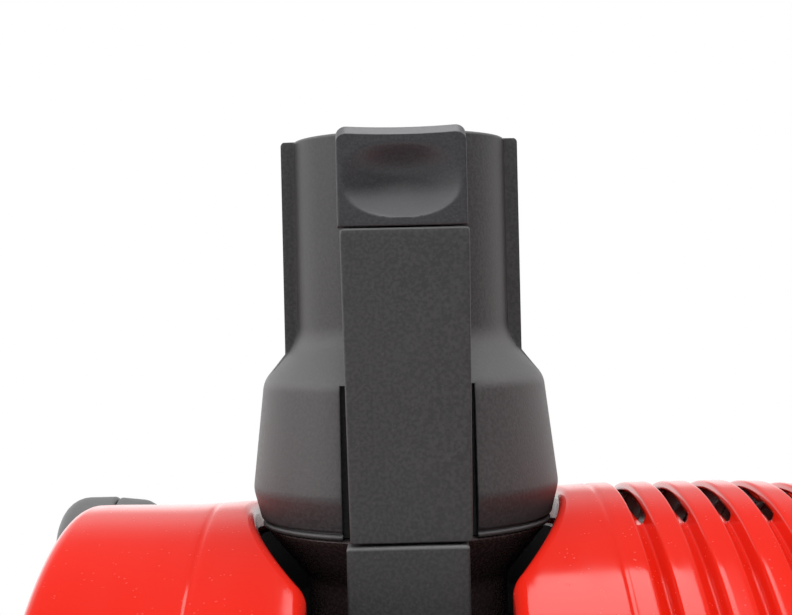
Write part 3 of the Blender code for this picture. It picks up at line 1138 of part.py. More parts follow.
# ---------------------------------------------------------------- base
def build_base():
    """Cradle under the barrel, its feet and their screws."""
    floor = -AXIS_HEIGHT
    half_x, half_y = CRADLE_LENGTH / 2, CRADLE_DEPTH / 2
    top = -math.sqrt(RIGHT_RADIUS**2 - half_y**2) + 0.004
    outline = rounded(half_x, half_y, CRADLE_CORNER, (0, 0), 4)
    cradle = piece("cradle_base", prism(outline, floor + CRADLE_BOTTOM, top), drum, BLACK)
    left = [(LEFT_END - 0.01, 0), (LEFT_END - 0.01, LEFT_END_RADIUS + GAP)]
    left += [(x, r + GAP) for x, r in reversed(left_outer()[2:-3])]
    left += [(CHANNEL_LEFT, LEFT_RADIUS + GAP)]
    right = [(CHANNEL_LEFT, BAND_RADIUS + GAP), (CHANNEL_RIGHT, BAND_RADIUS + GAP),
             (CHANNEL_RIGHT, RIGHT_EDGE_RADIUS + GAP)]
    right += [(x, r + GAP) for x, r in right_outer(grooves=False)[2:]]
    right += [(RIGHT_END + 0.01, right[-1][1]), (RIGHT_END + 0.01, 0)]
    boolean(cradle, cutter("cradle_seat", turned(left + right), drum))
    depth = floor + CRADLE_BOTTOM
    for end, sx in (("left", -1), ("right", 1)):
        for side, sy in (("front", -1), ("back", 1)):
            at = (sx * (half_x - FOOT_INSET), sy * (half_y - FOOT_INSET))
            foot = turned([
                (floor, 0.0050), (floor, FOOT_RADIUS - 0.0010), (floor + 0.0010, FOOT_RADIUS),
                (depth - GAP, FOOT_RADIUS - 0.0020), (depth - GAP, 0.0022), (floor + 0.0040, 0.0022),
                (floor + 0.0040, 0.0050),
            ], "Z", 12, at)
            piece(f"rubber_foot_{side}_{end}", foot, drum, RUBBER)


build_shells()
build_band()
build_scroll()
build_impeller()
build_motor()
build_intake()
build_neck()
build_port()
build_latch()
build_controls()
build_handle()
build_base()
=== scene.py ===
"""Looks of a car dryer blower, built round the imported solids.

Lengths are in metres. The barrel's axis runs along X, and an angle on the barrel is 0 at the top and grows
towards the back. Heights on the outlet port are measured up from the lip on which it turns.
"""

import logging
import math
from dataclasses import dataclass, field
from enum import Enum
from typing import Sequence

import bmesh
import bpy
import numpy as np
from mathutils import Matrix, Vector


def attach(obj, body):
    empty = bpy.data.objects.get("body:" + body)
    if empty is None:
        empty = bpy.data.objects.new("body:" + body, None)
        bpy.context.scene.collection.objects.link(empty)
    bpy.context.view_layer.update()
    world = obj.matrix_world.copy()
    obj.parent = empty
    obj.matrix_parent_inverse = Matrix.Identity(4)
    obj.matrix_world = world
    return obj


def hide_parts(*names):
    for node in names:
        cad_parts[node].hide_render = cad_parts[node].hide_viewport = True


Array = np.ndarray
Pair = tuple[float, float]
Triple = tuple[float, float, float]
Piece = bpy.types.Object
Socket = bpy.types.NodeSocket
log = logging.getLogger("blower")

SHARP = 40.0  # degrees between two faces above which their edge is drawn sharp
KNIFE = (0.00001, 0.00001)  # the rims of a cutter, as good as sharp
WAVE = 0.314  # scale times wavelength of the wave texture


@dataclass(frozen=True)
class Sizes:
    """The lengths of the solid model that the visible pieces share."""

    axis_y: float = -0.02165
    axis_z: float = 0.1520
    gap: float = 0.0003
    left_radius: float = 0.1339
    left_end_radius: float = 0.1315
    right_radius: float = 0.1362
    right_edge_radius: float = 0.1350
    rim_radius: float = 0.1256
    band_radius: float = 0.1290
    opening_radius: float = 0.0980
    half_length: float = 0.1125
    left_corner: float = 0.0090
    port_x: float = -0.0275
    channel_half: float = 0.0233
    well_half: float = 0.0393
    well_side: float = 0.1040
    well_blend: float = 0.0120
    well_floor: float = 0.1030
    louvre_start: float = 0.0544
    louvre_pitch: float = 0.0105
    lip_radius: float = 0.1284
    tube_radius: float = 0.0278
    tube_bore: float = 0.0252
    port_height: float = 0.0996
    wing_half: float = 0.0307
    wing_front: float = -0.0050
    wing_back: float = 0.0120
    wing_top: float = 0.09945
    wing_corner: float = 0.0012
    strip_front: float = 0.0415
    strip_top: float = 0.0749
    slot_half: float = 0.01625
    slit_top: float = 0.0373
    plate_radius: float = 0.1040
    plate_outer: float = 0.1153
    pivot_back: float = 0.0680
    pivot_height: float = 0.1085
    grip_back: float = 0.1650
    grip_height: float = 0.0220
    arm_inner: float = 0.1160
    arm_outer: float = 0.1335
    eye_radius: float = 0.0195
    grip_radius: float = 0.0145


S = Sizes()


class Side(Enum):
    """Which end of the barrel a piece belongs to, as the sign of its x."""

    LEFT = -1
    RIGHT = 1


class Axis(Enum):
    """The direction that a turned or pushed-up shape follows."""

    DRUM = "along the barrel"
    PORT = "up the port"
    FRONT = "towards the back, over the port's (x, height)"
    PLAN = "up, over the barrel's (x, y)"


# ---------------------------------------------------------------- mathematics of the surfaces
def on_drum(x: Array, radius: Array, turn: Array) -> Array:
    """World points at a place along the barrel, a radius and an angle from the top, in radians."""
    x, radius, turn = np.broadcast_arrays(x, radius, turn)
    return np.stack([x, S.axis_y + radius * np.sin(turn), S.axis_z + radius * np.cos(turn)], axis=-1)


def on_port(x: Array, y: Array, height: Array) -> Array:
    """World points from plan offsets to the port's axis and a height above its lip."""
    x, y, height = np.broadcast_arrays(x, y, height)
    return np.stack([S.port_x + x, S.axis_y + y, S.axis_z + S.lip_radius + height], axis=-1)


def placed(axis: Axis, along: Array, u: Array, v: Array) -> Array:
    """World points from a distance along an axis and two coordinates across it."""
    along, u, v = np.broadcast_arrays(along, u, v)
    if axis is Axis.DRUM:
        return np.stack([along, S.axis_y + u, S.axis_z + v], axis=-1)
    if axis is Axis.PORT:
        return on_port(u, v, along)
    if axis is Axis.FRONT:
        return on_port(u, along, v)
    return np.stack([u, S.axis_y + v, along], axis=-1)


def smooth_step(low: float, high: float, value: Array) -> Array:
    """Eased share, 0 below low and 1 above high."""
    share = np.clip((value - low) / (high - low), 0.0, 1.0)
    return share * share * (3.0 - 2.0 * share)


def smooth_max(a: Array, b: Array, width: float) -> Array:
    """The larger of two values, with the corner between them rounded over a width."""
    share = np.clip(0.5 + 0.5 * (a - b) / width, 0.0, 1.0)
    return b + (a - b) * share + width * share * (1.0 - share)


def slerp(start: Array, end: Array, shares: Array) -> Array:
    """Points on the arcs between vectors of equal length; the result gets a first axis for the shares."""
    length = np.linalg.norm(start, axis=-1, keepdims=True)
    cosine = np.sum(start * end, axis=-1, keepdims=True) / np.maximum(length**2, 1e-18)
    turn = np.arccos(np.clip(cosine, -1.0, 1.0))
    sine = np.maximum(np.sin(turn), 1e-9)
    t = np.asarray(shares).reshape((-1,) + (1,) * start.ndim)
    arc = (np.sin((1 - t) * turn) * start + np.sin(t * turn) * end) / sine
    return np.where(turn < 1e-6, start + (end - start) * t, arc)


def fillet(corners: Sequence[Pair] | Array, radii: float | Sequence[float], steps: int = 4,
           closed: bool = False) -> Array:
    """A line of corners with each corner replaced by a tangent arc.

    Args:
        corners: the corners, (n, 2).
        radii: one radius, or one for each corner; each is held back to half of its shorter side.
        steps: parts of each arc.
        closed: whether the last corner joins the first.

    Returns:
        Points, (n * (steps + 1), 2). The arc's centre lies on the corner's bisector, at
        radius / sin(half angle).
    """
    corners = np.asarray(corners, float)
    radii = np.array(np.broadcast_to(radii, len(corners)), float)
    if not closed:
        radii[[0, -1]] = 0.0
    before = np.roll(corners, 1, axis=0) - corners
    after = np.roll(corners, -1, axis=0) - corners
    length_before = np.linalg.norm(before, axis=1, keepdims=True)
    length_after = np.linalg.norm(after, axis=1, keepdims=True)
    before, after = before / np.maximum(length_before, 1e-12), after / np.maximum(length_after, 1e-12)
    half = np.arccos(np.clip(np.sum(before * after, axis=1, keepdims=True), -1.0, 1.0)) / 2
    half = np.maximum(half, 1e-3)
    cut = np.minimum(radii[:, None] / np.tan(half), 0.49 * np.minimum(length_before, length_after))
    bisector = before + after
    bisector /= np.maximum(np.linalg.norm(bisector, axis=1, keepdims=True), 1e-9)
    centre = corners + bisector * (cut * np.tan(half) / np.sin(half))
    first, last = corners + before * cut, corners + after * cut
    arcs = slerp(first - centre, last - centre, np.linspace(0, 1, steps + 1))
    return (arcs + centre).transpose(1, 0, 2).reshape(-1, 2)


def inset(outline: Array, distance: float) -> Array:
    """A closed anticlockwise outline moved inwards, each point along the mitre of its two sides."""
    ahead = np.roll(outline, -1, axis=0) - outline
    ahead /= np.maximum(np.linalg.norm(ahead, axis=1, keepdims=True), 1e-12)
    normal = np.stack([-ahead[:, 1], ahead[:, 0]], axis=1)
    mean = normal + np.roll(normal, 1, axis=0)
    mean /= np.maximum(np.linalg.norm(mean, axis=1, keepdims=True), 1e-9)
    stretch = np.maximum(np.sum(mean * normal, axis=1, keepdims=True), 0.5)
    return outline + mean * distance / stretch


def rounded_rect(half_u: float, half_v: float, corner: float, centre: Pair = (0, 0), steps: int = 8) -> Array:
    """Anticlockwise rectangle with round corners."""
    corners = np.array([(-half_u, -half_v), (half_u, -half_v), (half_u, half_v), (-half_u, half_v)])
    return fillet(corners + np.array(centre), corner, steps, closed=True)


def circle(radius: float, count: int, centre: Pair = (0, 0)) -> Array:
    """Anticlockwise circle of points."""
    turn = np.linspace(0, 2 * math.pi, count, endpoint=False)
    return np.stack([centre[0] + radius * np.cos(turn), centre[1] + radius * np.sin(turn)], axis=1)


# ---------------------------------------------------------------- meshes
@dataclass
class Patchwork:
    """Grids and caps of computed points, gathered into the vertices and faces of one mesh."""

    points: list[Array] = field(default_factory=list)
    quads: list[Array] = field(default_factory=list)
    caps: list[list[int]] = field(default_factory=list)
    size: int = 0

    def add(self, points: Array) -> Array:
        """Adds points and returns their indices in the same layout."""
        flat = points.reshape(-1, 3)
        index = np.arange(self.size, self.size + len(flat)).reshape(points.shape[:-1])
        self.points.append(flat)
        self.size += len(flat)
        return index

    def grid(self, points: Array, around: bool = False, along: bool = False,
             keep: Array | None = None) -> Array:
        """Joins a (rows, columns, 3) grid with quads.

        Args:
            points: the grid.
            around: whether the last column joins the first.
            along: whether the last row joins the first.
            keep: which quads to keep, as booleans, for openings in the surface.

        Returns:
            The indices of the grid's points.
        """
        index = self.add(points)
        full = np.vstack([index, index[:1]]) if along else index
        full = np.hstack([full, full[:, :1]]) if around else full
        quads = np.stack([full[:-1, :-1], full[1:, :-1], full[1:, 1:], full[:-1, 1:]], axis=-1)
        self.quads.append(quads.reshape(-1, 4) if keep is None else quads[keep])
        return index

    def cap(self, ring: Array) -> None:
        """Closes a ring of points with one face."""
        self.caps.append([int(i) for i in ring])

    def build(self, name: str, sharp: float = SHARP, skin: bool = False, merge: float = 2e-6) -> Piece:
        """Makes the object.

        Args:
            name: the object's name.
            sharp: the angle in degrees above which an edge is drawn sharp.
            skin: whether this is an open surface whose own winding is kept.
            merge: the distance under which points become one.
        """
        mesh = bpy.data.meshes.new(name)
        faces = np.concatenate(self.quads).tolist() if self.quads else []
        mesh.from_pydata(np.concatenate(self.points).tolist(), [], faces + self.caps)
        shape = bmesh.new()
        shape.from_mesh(mesh)
        bmesh.ops.remove_doubles(shape, verts=shape.verts, dist=merge)
        bmesh.ops.dissolve_degenerate(shape, edges=shape.edges, dist=merge)
        if not skin:
            bmesh.ops.recalc_face_normals(shape, faces=shape.faces)
        shape.to_mesh(mesh)
        shape.free()
        mesh.shade_smooth()
        mesh.set_sharp_from_angle(angle=math.radians(sharp))
        made = bpy.data.objects.new(name, mesh)
        bpy.context.scene.collection.objects.link(made)
        return made


def turned(name: str, profile: Sequence[Pair] | Array, axis: Axis = Axis.DRUM, centre: Pair = (0, 0),
           count: int = 96, closed: bool = True, waves: tuple[int, float] | None = None) -> Piece:
    """A solid turned about an axis.

    Args:
        name: the object's name.
        profile: (distance along the axis, radius) points.
        axis: the direction of the axis.
        centre: where the axis crosses the plane across it.
        count: points round the axis.
        closed: whether the profile's ends join each other; otherwise they must lie on the axis.
        waves: a number of flutes and their depth as a share of the radius, cut where the radius is largest.
    """
    profile = np.asarray(profile, float)
    turn = np.linspace(0, 2 * math.pi, count, endpoint=False)
    radius = profile[:, 1:] * np.ones_like(turn)
    if waves is not None:
        ripple = 0.5 - 0.5 * np.cos(waves[0] * turn)
        near_rim = smooth_step(0.86, 0.97, profile[:, 1:] / profile[:, 1].max())
        radius = radius * (1.0 - waves[1] * ripple * near_rim)
    u, v = centre[0] + radius * np.sin(turn), centre[1] + radius * np.cos(turn)
    patch = Patchwork()
    patch.grid(placed(axis, profile[:, :1], u, v), around=True, along=closed)
    return patch.build(name)


def slab(name: str, outline: Array, low: float, high: float, axis: Axis, edges: Pair = (0.0004, 0.0004),
         steps: int = 4, drop: Pair | None = None) -> Piece:
    """A plate of an anticlockwise outline, with its low and high rims rounded by quarter arcs.

    At an angle a of a rim's arc the outline is drawn in by radius * (1 - sin a), and the section stands
    radius * (1 - cos a) from the face.

    Args:
        name: the object's name.
        outline: (n, 2) points across the axis.
        low: the lower face.
        high: the upper face.
        axis: the direction of the thickness.
        edges: radius of the low rim and of the high rim.
        steps: parts of each arc.
        drop: heights of the two arcs where these differ from their radii.
    """
    heights = edges if drop is None else drop
    turn = np.linspace(0, math.pi / 2, steps + 1)
    rise, draw = 1 - np.cos(turn), 1 - np.sin(turn)
    support = 0.00015
    along = np.concatenate([[low], low + heights[0] * rise, high - heights[1] * rise[::-1], [high]])
    draws = np.concatenate([[edges[0] + support], edges[0] * draw, edges[1] * draw[::-1],
                            [edges[1] + support]])
    sections = [placed(axis, np.array(a), *inset(outline, d).T) for a, d in zip(along, draws)]
    patch = Patchwork()
    index = patch.grid(np.stack(sections), around=True)
    patch.cap(index[0])
    patch.cap(index[-1])
    return patch.build(name)


def joined(name: str, *parts: Piece) -> Piece:
    """Puts several closed meshes into one object."""
    shape = bmesh.new()
    for part in parts:
        shape.from_mesh(part.data)
    mesh = bpy.data.meshes.new(name)
    shape.to_mesh(mesh)
    shape.free()
    for part in parts:
        bpy.data.objects.remove(part)
    mesh.set_sharp_from_angle(angle=math.radians(SHARP))
    made = bpy.data.objects.new(name, mesh)
    bpy.context.scene.collection.objects.link(made)
    return made


def carved(target: Piece, *tools: Piece, operation: str = "DIFFERENCE",
           edge: float = 0.00025) -> Piece:
    """Cuts tools out of a piece, or adds them, and breaks the new edges with a small bevel."""
    for tool in tools:
        cut = target.modifiers.new(tool.name, "BOOLEAN")
        cut.operation, cut.solver, cut.object = operation, "EXACT", tool
    bpy.context.view_layer.update()
    mesh = bpy.data.meshes.new_from_object(target.evaluated_get(bpy.context.evaluated_depsgraph_get()))
    target.modifiers.clear()
    target.data = mesh
    for tool in tools:
        bpy.data.objects.remove(tool)
    mesh.shade_smooth()
    mesh.set_sharp_from_angle(angle=math.radians(SHARP))
    if edge > 0:
        soft = target.modifiers.new("edges", "BEVEL")
        soft.width, soft.segments, soft.limit_method, soft.angle_limit = edge, 2, "ANGLE", math.radians(35)
        soft.harden_normals = True
    return target


# ---------------------------------------------------------------- finishes
class Graph:
    """Short calls that lay out the nodes of one material over the object's own coordinates."""

    def __init__(self, name: str) -> None:
        """Starts a material with a Principled shader."""
        self.material = bpy.data.materials.new(name)
        self.material.use_nodes = True
        self.tree = self.material.node_tree
        self.tree.nodes.clear()
        output = self.tree.nodes.new("ShaderNodeOutputMaterial")
        self.shader = self.tree.nodes.new("ShaderNodeBsdfPrincipled")
        self.tree.links.new(self.shader.outputs[0], output.inputs[0])
        self.place = self.tree.nodes.new("ShaderNodeTexCoord").outputs["Object"]

    def feed(self, socket: Socket, value: object) -> None:
        """Links a socket, or sets it where the value is a number or a colour."""
        if isinstance(value, Socket):
            self.tree.links.new(value, socket)
        elif isinstance(value, tuple) and len(value) == 3 and len(socket.default_value) == 4:
            socket.default_value = (*value, 1.0)
        else:
            socket.default_value = value

    def node(self, kind: str, inputs: dict[str | int, object], output: int | str = 0,
             **settings: object) -> Socket:
        """Adds a node with settings and inputs, and returns one of its outputs."""
        made = self.tree.nodes.new("ShaderNode" + kind)
        for key, value in settings.items():
            setattr(made, key, value)
        for key, value in inputs.items():
            self.feed(made.inputs[key], value)
        return made.outputs[output]

    def surface(self, **values: object) -> None:
        """Sets sockets of the Principled shader; underscores stand for spaces."""
        for key, value in values.items():
            self.feed(self.shader.inputs[key.replace("_", " ")], value)

    def stretch(self, x: float, y: float, z: float) -> Socket:
        """The object's coordinates scaled along each axis."""
        return self.node("Mapping", {"Vector": self.place, "Scale": (x, y, z)})

    def noise(self, scale: float, detail: float = 2.0, rough: float = 0.5, where: object = None) -> Socket:
        """Cloudy noise from 0 to 1."""
        inputs = {"Vector": where or self.place, "Scale": scale, "Detail": detail, "Roughness": rough}
        return self.node("TexNoise", inputs)

    def cells(self, scale: float) -> Socket:
        """Distance to scattered points, in cells."""
        return self.node("TexVoronoi", {"Vector": self.place, "Scale": scale}, "Distance")

    def ridges(self, pitch: float, where: object = None, **inputs: object) -> Socket:
        """Waves from 0 to 1 along the first axis, of the given length."""
        inputs = {"Vector": where or self.place, "Scale": WAVE / pitch, **inputs}
        return self.node("TexWave", inputs, "Fac")

    def span(self, value: object, low: float, high: float, start: float = 0.0, end: float = 1.0) -> Socket:
        """Maps low to high onto start to end, clamped and eased."""
        inputs = {0: value, 1: low, 2: high, 3: start, 4: end}
        return self.node("MapRange", inputs, interpolation_type="SMOOTHSTEP")

    def sum(self, operation: str, a: object, b: object = 0.0) -> Socket:
        """One Math node."""
        return self.node("Math", {0: a, 1: b}, operation=operation)

    def mix(self, share: object, a: object, b: object) -> Socket:
        """A blend of two colours."""
        made = self.tree.nodes.new("ShaderNodeMix")
        made.data_type = "RGBA"
        for index, value in ((0, share), (6, a), (7, b)):
            self.feed(made.inputs[index], value)
        return made.outputs[2]

    def bump(self, height: object, distance: float, strength: float = 1.0, after: object = None) -> Socket:
        """A normal from a height, after an earlier bump where one is given."""
        inputs = {"Height": height, "Distance": distance, "Strength": strength}
        if after is not None:
            inputs["Normal"] = after
        return self.node("Bump", inputs)


@dataclass(frozen=True)
class Finish:
    """What a piece's surface is made of, and the record's slot that it stands for."""

    name: str
    slot: str
    colour: Triple
    roughness: float

    def tone(self, share: float, lift: float = 0.0) -> Triple:
        """The finish's colour, scaled and then lifted."""
        return tuple(share * c + lift for c in self.colour)

    def dress(self, graph: Graph) -> None:
        """Lays out the material's nodes."""
        raise NotImplementedError

    def material(self) -> bpy.types.Material:
        """The finish's material, made once and then shared."""
        known = bpy.data.materials.get(self.name)
        if known is not None:
            return known
        graph = Graph(self.name)
        self.dress(graph)
        return graph.material


@dataclass(frozen=True)
class GlossPlastic(Finish):
    """Polished moulded plastic: a faint swell in the gloss, fine scuffs and dust."""

    dust: float = 0.04

    def dress(self, graph: Graph) -> None:
        """Colour with slight clouding and dust points; gloss that long waves and scuffs disturb."""
        cloud = graph.noise(9.0, 3.0)
        base = graph.mix(graph.span(cloud, 0.35, 0.65), self.tone(0.93), self.colour)
        rare = graph.span(graph.noise(140.0, 1.0), 0.50, 0.62)
        speck = graph.sum("MULTIPLY", graph.span(graph.cells(620.0), 0.20, 0.10), rare)
        colour = graph.mix(graph.sum("MULTIPLY", speck, self.dust), base, self.tone(0.5, 0.3))
        scuff = graph.noise(60.0, 4.0, 0.6, graph.stretch(1.0, 0.25, 0.25))
        rough = graph.span(scuff, 0.35, 0.75, self.roughness * 0.8, self.roughness * 1.5)
        rough = graph.sum("ADD", rough, graph.sum("MULTIPLY", speck, 0.3))
        swell = graph.bump(graph.noise(75.0, 2.0), 0.00002, 0.5)
        normal = graph.bump(speck, 0.00002, 0.6, swell)
        graph.surface(Base_Color=colour, Roughness=rough, Normal=normal, IOR=1.42)


@dataclass(frozen=True)
class GrainPlastic(Finish):
    """Spark-eroded moulded plastic: two scales of grain, pale pinpoints, bloom, and painted light on what
    faces up.
    """

    grain: float = 1500.0
    depth: float = 0.00005
    pinpoints: float = 0.10
    bloom: float = 0.18
    # share of painted light from above, which lightens the colour of what faces up
    painted_top_light: float = 0.42
    gloss: float = 0.5

    def dress(self, graph: Graph) -> None:
        """Colour from the grain, the bloom, painted light on what faces up and rare points; bump from the
        same grain.
        """
        fine = graph.noise(self.grain * 1.7, 2.0, 0.6)
        coarse = graph.noise(self.grain * 0.8, 2.0, 0.5)
        cloud = graph.noise(22.0, 4.0, 0.6)
        colour = graph.mix(graph.span(coarse, 0.34, 0.68), self.tone(0.80), self.tone(1.22))
        misty = graph.span(cloud, 0.42, 0.72, 0.0, self.bloom)
        colour = graph.mix(misty, colour, self.tone(0.8, 0.03))
        # Painted light: the colour grows lighter where the surface faces up, standing in for the overhead
        # light.
        upward = graph.node("SeparateXYZ", {"Vector": graph.node("TexCoord", {}, "Normal")}, "Z")
        painted_top_share = graph.span(upward, -0.03, 0.5, 0.0, self.painted_top_light)
        colour = graph.mix(painted_top_share, colour, self.tone(2.0, 0.16))
        sparse = graph.span(graph.noise(300.0, 1.0), 0.50, 0.62)
        point = graph.sum("MULTIPLY", graph.span(graph.cells(760.0), 0.22, 0.12), sparse)
        colour = graph.mix(graph.sum("MULTIPLY", point, self.pinpoints), colour, self.tone(1.0, 0.22))
        rough = graph.span(coarse, 0.3, 0.7, self.roughness - 0.04, self.roughness + 0.05)
        height = graph.sum("ADD", graph.sum("MULTIPLY", fine, 0.6), coarse)
        graph.surface(Base_Color=colour, Roughness=rough, Normal=graph.bump(height, self.depth),
                      IOR=1.49, Specular_IOR_Level=self.gloss)


@dataclass(frozen=True)
class SoftRubber(Finish):
    """Moulded rubber: dull, faintly mottled, with a fine skin."""

    def dress(self, graph: Graph) -> None:
        """Mottled colour, a fine bump and a weak sheen."""
        mottle = graph.noise(90.0, 4.0)
        colour = graph.mix(graph.span(mottle, 0.3, 0.7), self.tone(0.7), self.colour)
        rough = graph.span(mottle, 0.3, 0.7, self.roughness, self.roughness + 0.1)
        normal = graph.bump(graph.noise(2600.0, 2.0), 0.00003)
        graph.surface(Base_Color=colour, Roughness=rough, Normal=normal, Sheen_Weight=0.12,
                      Sheen_Roughness=0.5)


@dataclass(frozen=True)
class WorkedMetal(Finish):
    """Metal with lines left by turning or brushing, and a few stains."""

    lines: Triple = (1.0, 0.02, 0.02)
    pitch: float = 2500.0

    def dress(self, graph: Graph) -> None:
        """Noise stretched along the tool's path drives roughness and bump; clouds stain the colour."""
        line = graph.noise(self.pitch, 3.0, 0.6, graph.stretch(*self.lines))
        stain = graph.noise(45.0, 4.0)
        colour = graph.mix(graph.span(stain, 0.4, 0.8), self.colour, self.tone(0.72))
        rough = graph.span(line, 0.3, 0.7, self.roughness - 0.08, self.roughness + 0.1)
        normal = graph.bump(line, 0.00001, 0.5)
        graph.surface(Base_Color=colour, Roughness=rough, Normal=normal, Metallic=1.0)


@dataclass(frozen=True)
class Wound(Finish):
    """Enamelled wire laid in turns, as fine ridges across the coil."""

    turns: Triple = (1.0, 0.0, 0.0)
    wire: float = 0.0007

    def dress(self, graph: Graph) -> None:
        """A band pattern of the wire's pitch, warped a little, with painted shade between the turns."""
        band = graph.ridges(self.wire, graph.stretch(*self.turns), Distortion=1.2, Detail=2.0)
        # Painted shade: the colour darkens in the crevices between the turns.
        colour = graph.mix(graph.span(band, 0.1, 0.6), self.tone(0.25), self.colour)
        burnt = graph.span(graph.noise(120.0), 0.4, 0.7, 0.0, 0.35)
        colour = graph.mix(burnt, colour, (0.25, 0.09, 0.03))
        graph.surface(Base_Color=colour, Roughness=self.roughness, Metallic=0.75,
                      Normal=graph.bump(band, 0.0002), Coat_Weight=0.5, Coat_Roughness=0.2)


@dataclass(frozen=True)
class OpenFoam(Finish):
    """Open-celled filter foam: pale struts, with painted shade in the pores between them."""

    def dress(self, graph: Graph) -> None:
        """Two sizes of cells give pores in bump, and painted shade in the pores in colour."""
        pore = graph.span(graph.cells(900.0), 0.25, 0.6)
        small = graph.span(graph.cells(2100.0), 0.2, 0.6)
        web = graph.sum("MULTIPLY", pore, graph.span(small, 0.0, 1.0, 0.55, 1.0))
        # Painted shade: the colour darkens in the pores.
        colour = graph.mix(web, self.tone(0.15), self.colour)
        graph.surface(Base_Color=colour, Roughness=self.roughness, Normal=graph.bump(web, 0.0005))


@dataclass(frozen=True)
class Board(Finish):
    """Coated circuit board: solder mask over a faint copper layout, glass weave at the edge."""

    def dress(self, graph: Graph) -> None:
        """Square cells stand for the layout under the mask, with small pads."""
        inputs = {"Vector": graph.place, "Scale": 260.0}
        layout = graph.node("TexVoronoi", inputs, "Color", distance="CHEBYCHEV")
        layer = graph.span(layout, 0.45, 0.55)
        colour = graph.mix(layer, self.colour, self.tone(1.8, 0.01))
        pad = graph.span(graph.cells(420.0), 0.16, 0.12)
        bare = graph.sum("MULTIPLY", pad, graph.span(graph.noise(200.0), 0.5, 0.55))
        colour = graph.mix(bare, colour, (0.6, 0.6, 0.55))
        graph.surface(Base_Color=colour, Roughness=self.roughness, Normal=graph.bump(layer, 0.00003),
                      Coat_Weight=0.4)


@dataclass(frozen=True)
class Pressed(Finish):
    """Pressed or cast stock: carbon, laminated steel and cast aluminium, told apart by layers and pits."""

    metallic: float = 0.0
    layers: float = 0.0
    pits: float = 900.0

    def dress(self, graph: Graph) -> None:
        """Fine pits, clouding, and sheets along the shaft where the stock is laminated."""
        pit = graph.noise(self.pits, 3.0, 0.7)
        cloud = graph.noise(70.0, 4.0)
        colour = graph.mix(graph.span(cloud, 0.35, 0.7), self.tone(0.75), self.colour)
        height = pit
        if self.layers > 0:
            sheet = graph.ridges(self.layers)
            colour = graph.mix(graph.span(sheet, 0.0, 0.35), self.tone(0.35), colour)
            height = graph.sum("ADD", pit, sheet)
        rough = graph.span(pit, 0.3, 0.7, self.roughness - 0.08, self.roughness + 0.1)
        graph.surface(Base_Color=colour, Roughness=rough, Metallic=self.metallic,
                      Normal=graph.bump(height, 0.00006))


RED = GlossPlastic("red_gloss", "red_plastic", (0.740, 0.016, 0.006), 0.11)
CHARCOAL = GrainPlastic("charcoal_grain", "black_plastic", (0.056, 0.056, 0.058), 0.46)
CHARCOAL_FINE = GrainPlastic("charcoal_fine_grain", "black_plastic", (0.046, 0.046, 0.051), 0.44,
                             grain=2100.0, depth=0.00003)
BLACK = GrainPlastic("black_moulding", "black_plastic", (0.016, 0.016, 0.018), 0.38,
                     depth=0.00003, pinpoints=0.05, bloom=0.10)
# Black moulding made far darker and duller than the others: painted shade inside the recess.
SHADED_LINER = GrainPlastic("recess_liner_painted_shade", "black_plastic", (0.003, 0.003, 0.0035), 0.75,
                     grain=1200.0, depth=0.00002, pinpoints=0.03, bloom=0.0, painted_top_light=0.0, gloss=0.02)
# Black moulding with a red tint: painted reflection of the red shells on the neck and its collar.
NECK_RED_REFLECTION = GrainPlastic("neck_moulding_painted_red_reflection", "black_plastic", (0.060, 0.040, 0.040), 0.26,
                    depth=0.00002, pinpoints=0.06, bloom=0.08)
RUBBER = SoftRubber("soft_rubber", "rubber", (0.030, 0.030, 0.031), 0.66)
STEEL = WorkedMetal("drawn_steel", "steel", (0.62, 0.61, 0.60), 0.30)
ZINC = WorkedMetal("bright_zinc", "steel", (0.70, 0.71, 0.73), 0.26, lines=(0.3, 1.0, 1.0), pitch=1800.0)
COPPER = Wound("wound_copper", "copper", (0.72, 0.28, 0.10), 0.32)
COPPER_ROUND = Wound("wound_armature", "copper", (0.70, 0.26, 0.09), 0.30, turns=(0.0, 1.0, 0.4))
CARBON = Pressed("pressed_carbon", "carbon", (0.045, 0.045, 0.047), 0.52, metallic=0.2)
LAMINATE = Pressed("laminated_steel", "steel", (0.38, 0.38, 0.40), 0.42, metallic=1.0, layers=0.0007)
CAST = Pressed("cast_aluminium", "cast_aluminium", (0.62, 0.63, 0.65), 0.42, metallic=1.0, pits=650.0)
FOAM = OpenFoam("open_foam", "foam", (0.055, 0.056, 0.060), 0.9)
BOARD = Board("coated_board", "circuit_board", (0.012, 0.11, 0.030), 0.34)
PRINT = GrainPlastic("white_print", "black_plastic", (0.74, 0.74, 0.72), 0.55,
                     grain=2200.0, depth=0.00001, pinpoints=0.0, bloom=0.0)


# ---------------------------------------------------------------- sub-assemblies
@dataclass
class Assembly:
    """A sub-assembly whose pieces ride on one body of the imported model."""

    body: str = "blower_body"

    def fit(self, made: Piece, finish: Finish, *nodes: str, body: str = "") -> Piece:
        """Gives a new piece its finish and body, and hides the solids that it stands for.

        Args:
            made: the piece.
            finish: what it is made of.
            nodes: the solids that it replaces.
            body: the body that it rides on, where this isn't the assembly's own.
        """
        made.data.materials.clear()
        made.data.materials.append(finish.material())
        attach(made, body or self.body)
        if nodes:
            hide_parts(*nodes)
        log.info("%s: %d faces on %s", made.name, len(made.data.polygons), body or self.body)
        return made

    def dress(self, finish: Finish, *nodes: str) -> None:
        """Gives solids that stay in view their finish."""
        for node in nodes:
            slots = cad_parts[node].data.materials
            slots.clear()
            slots.append(finish.material())
            log.info("%s: dressed as %s", node, finish.name)


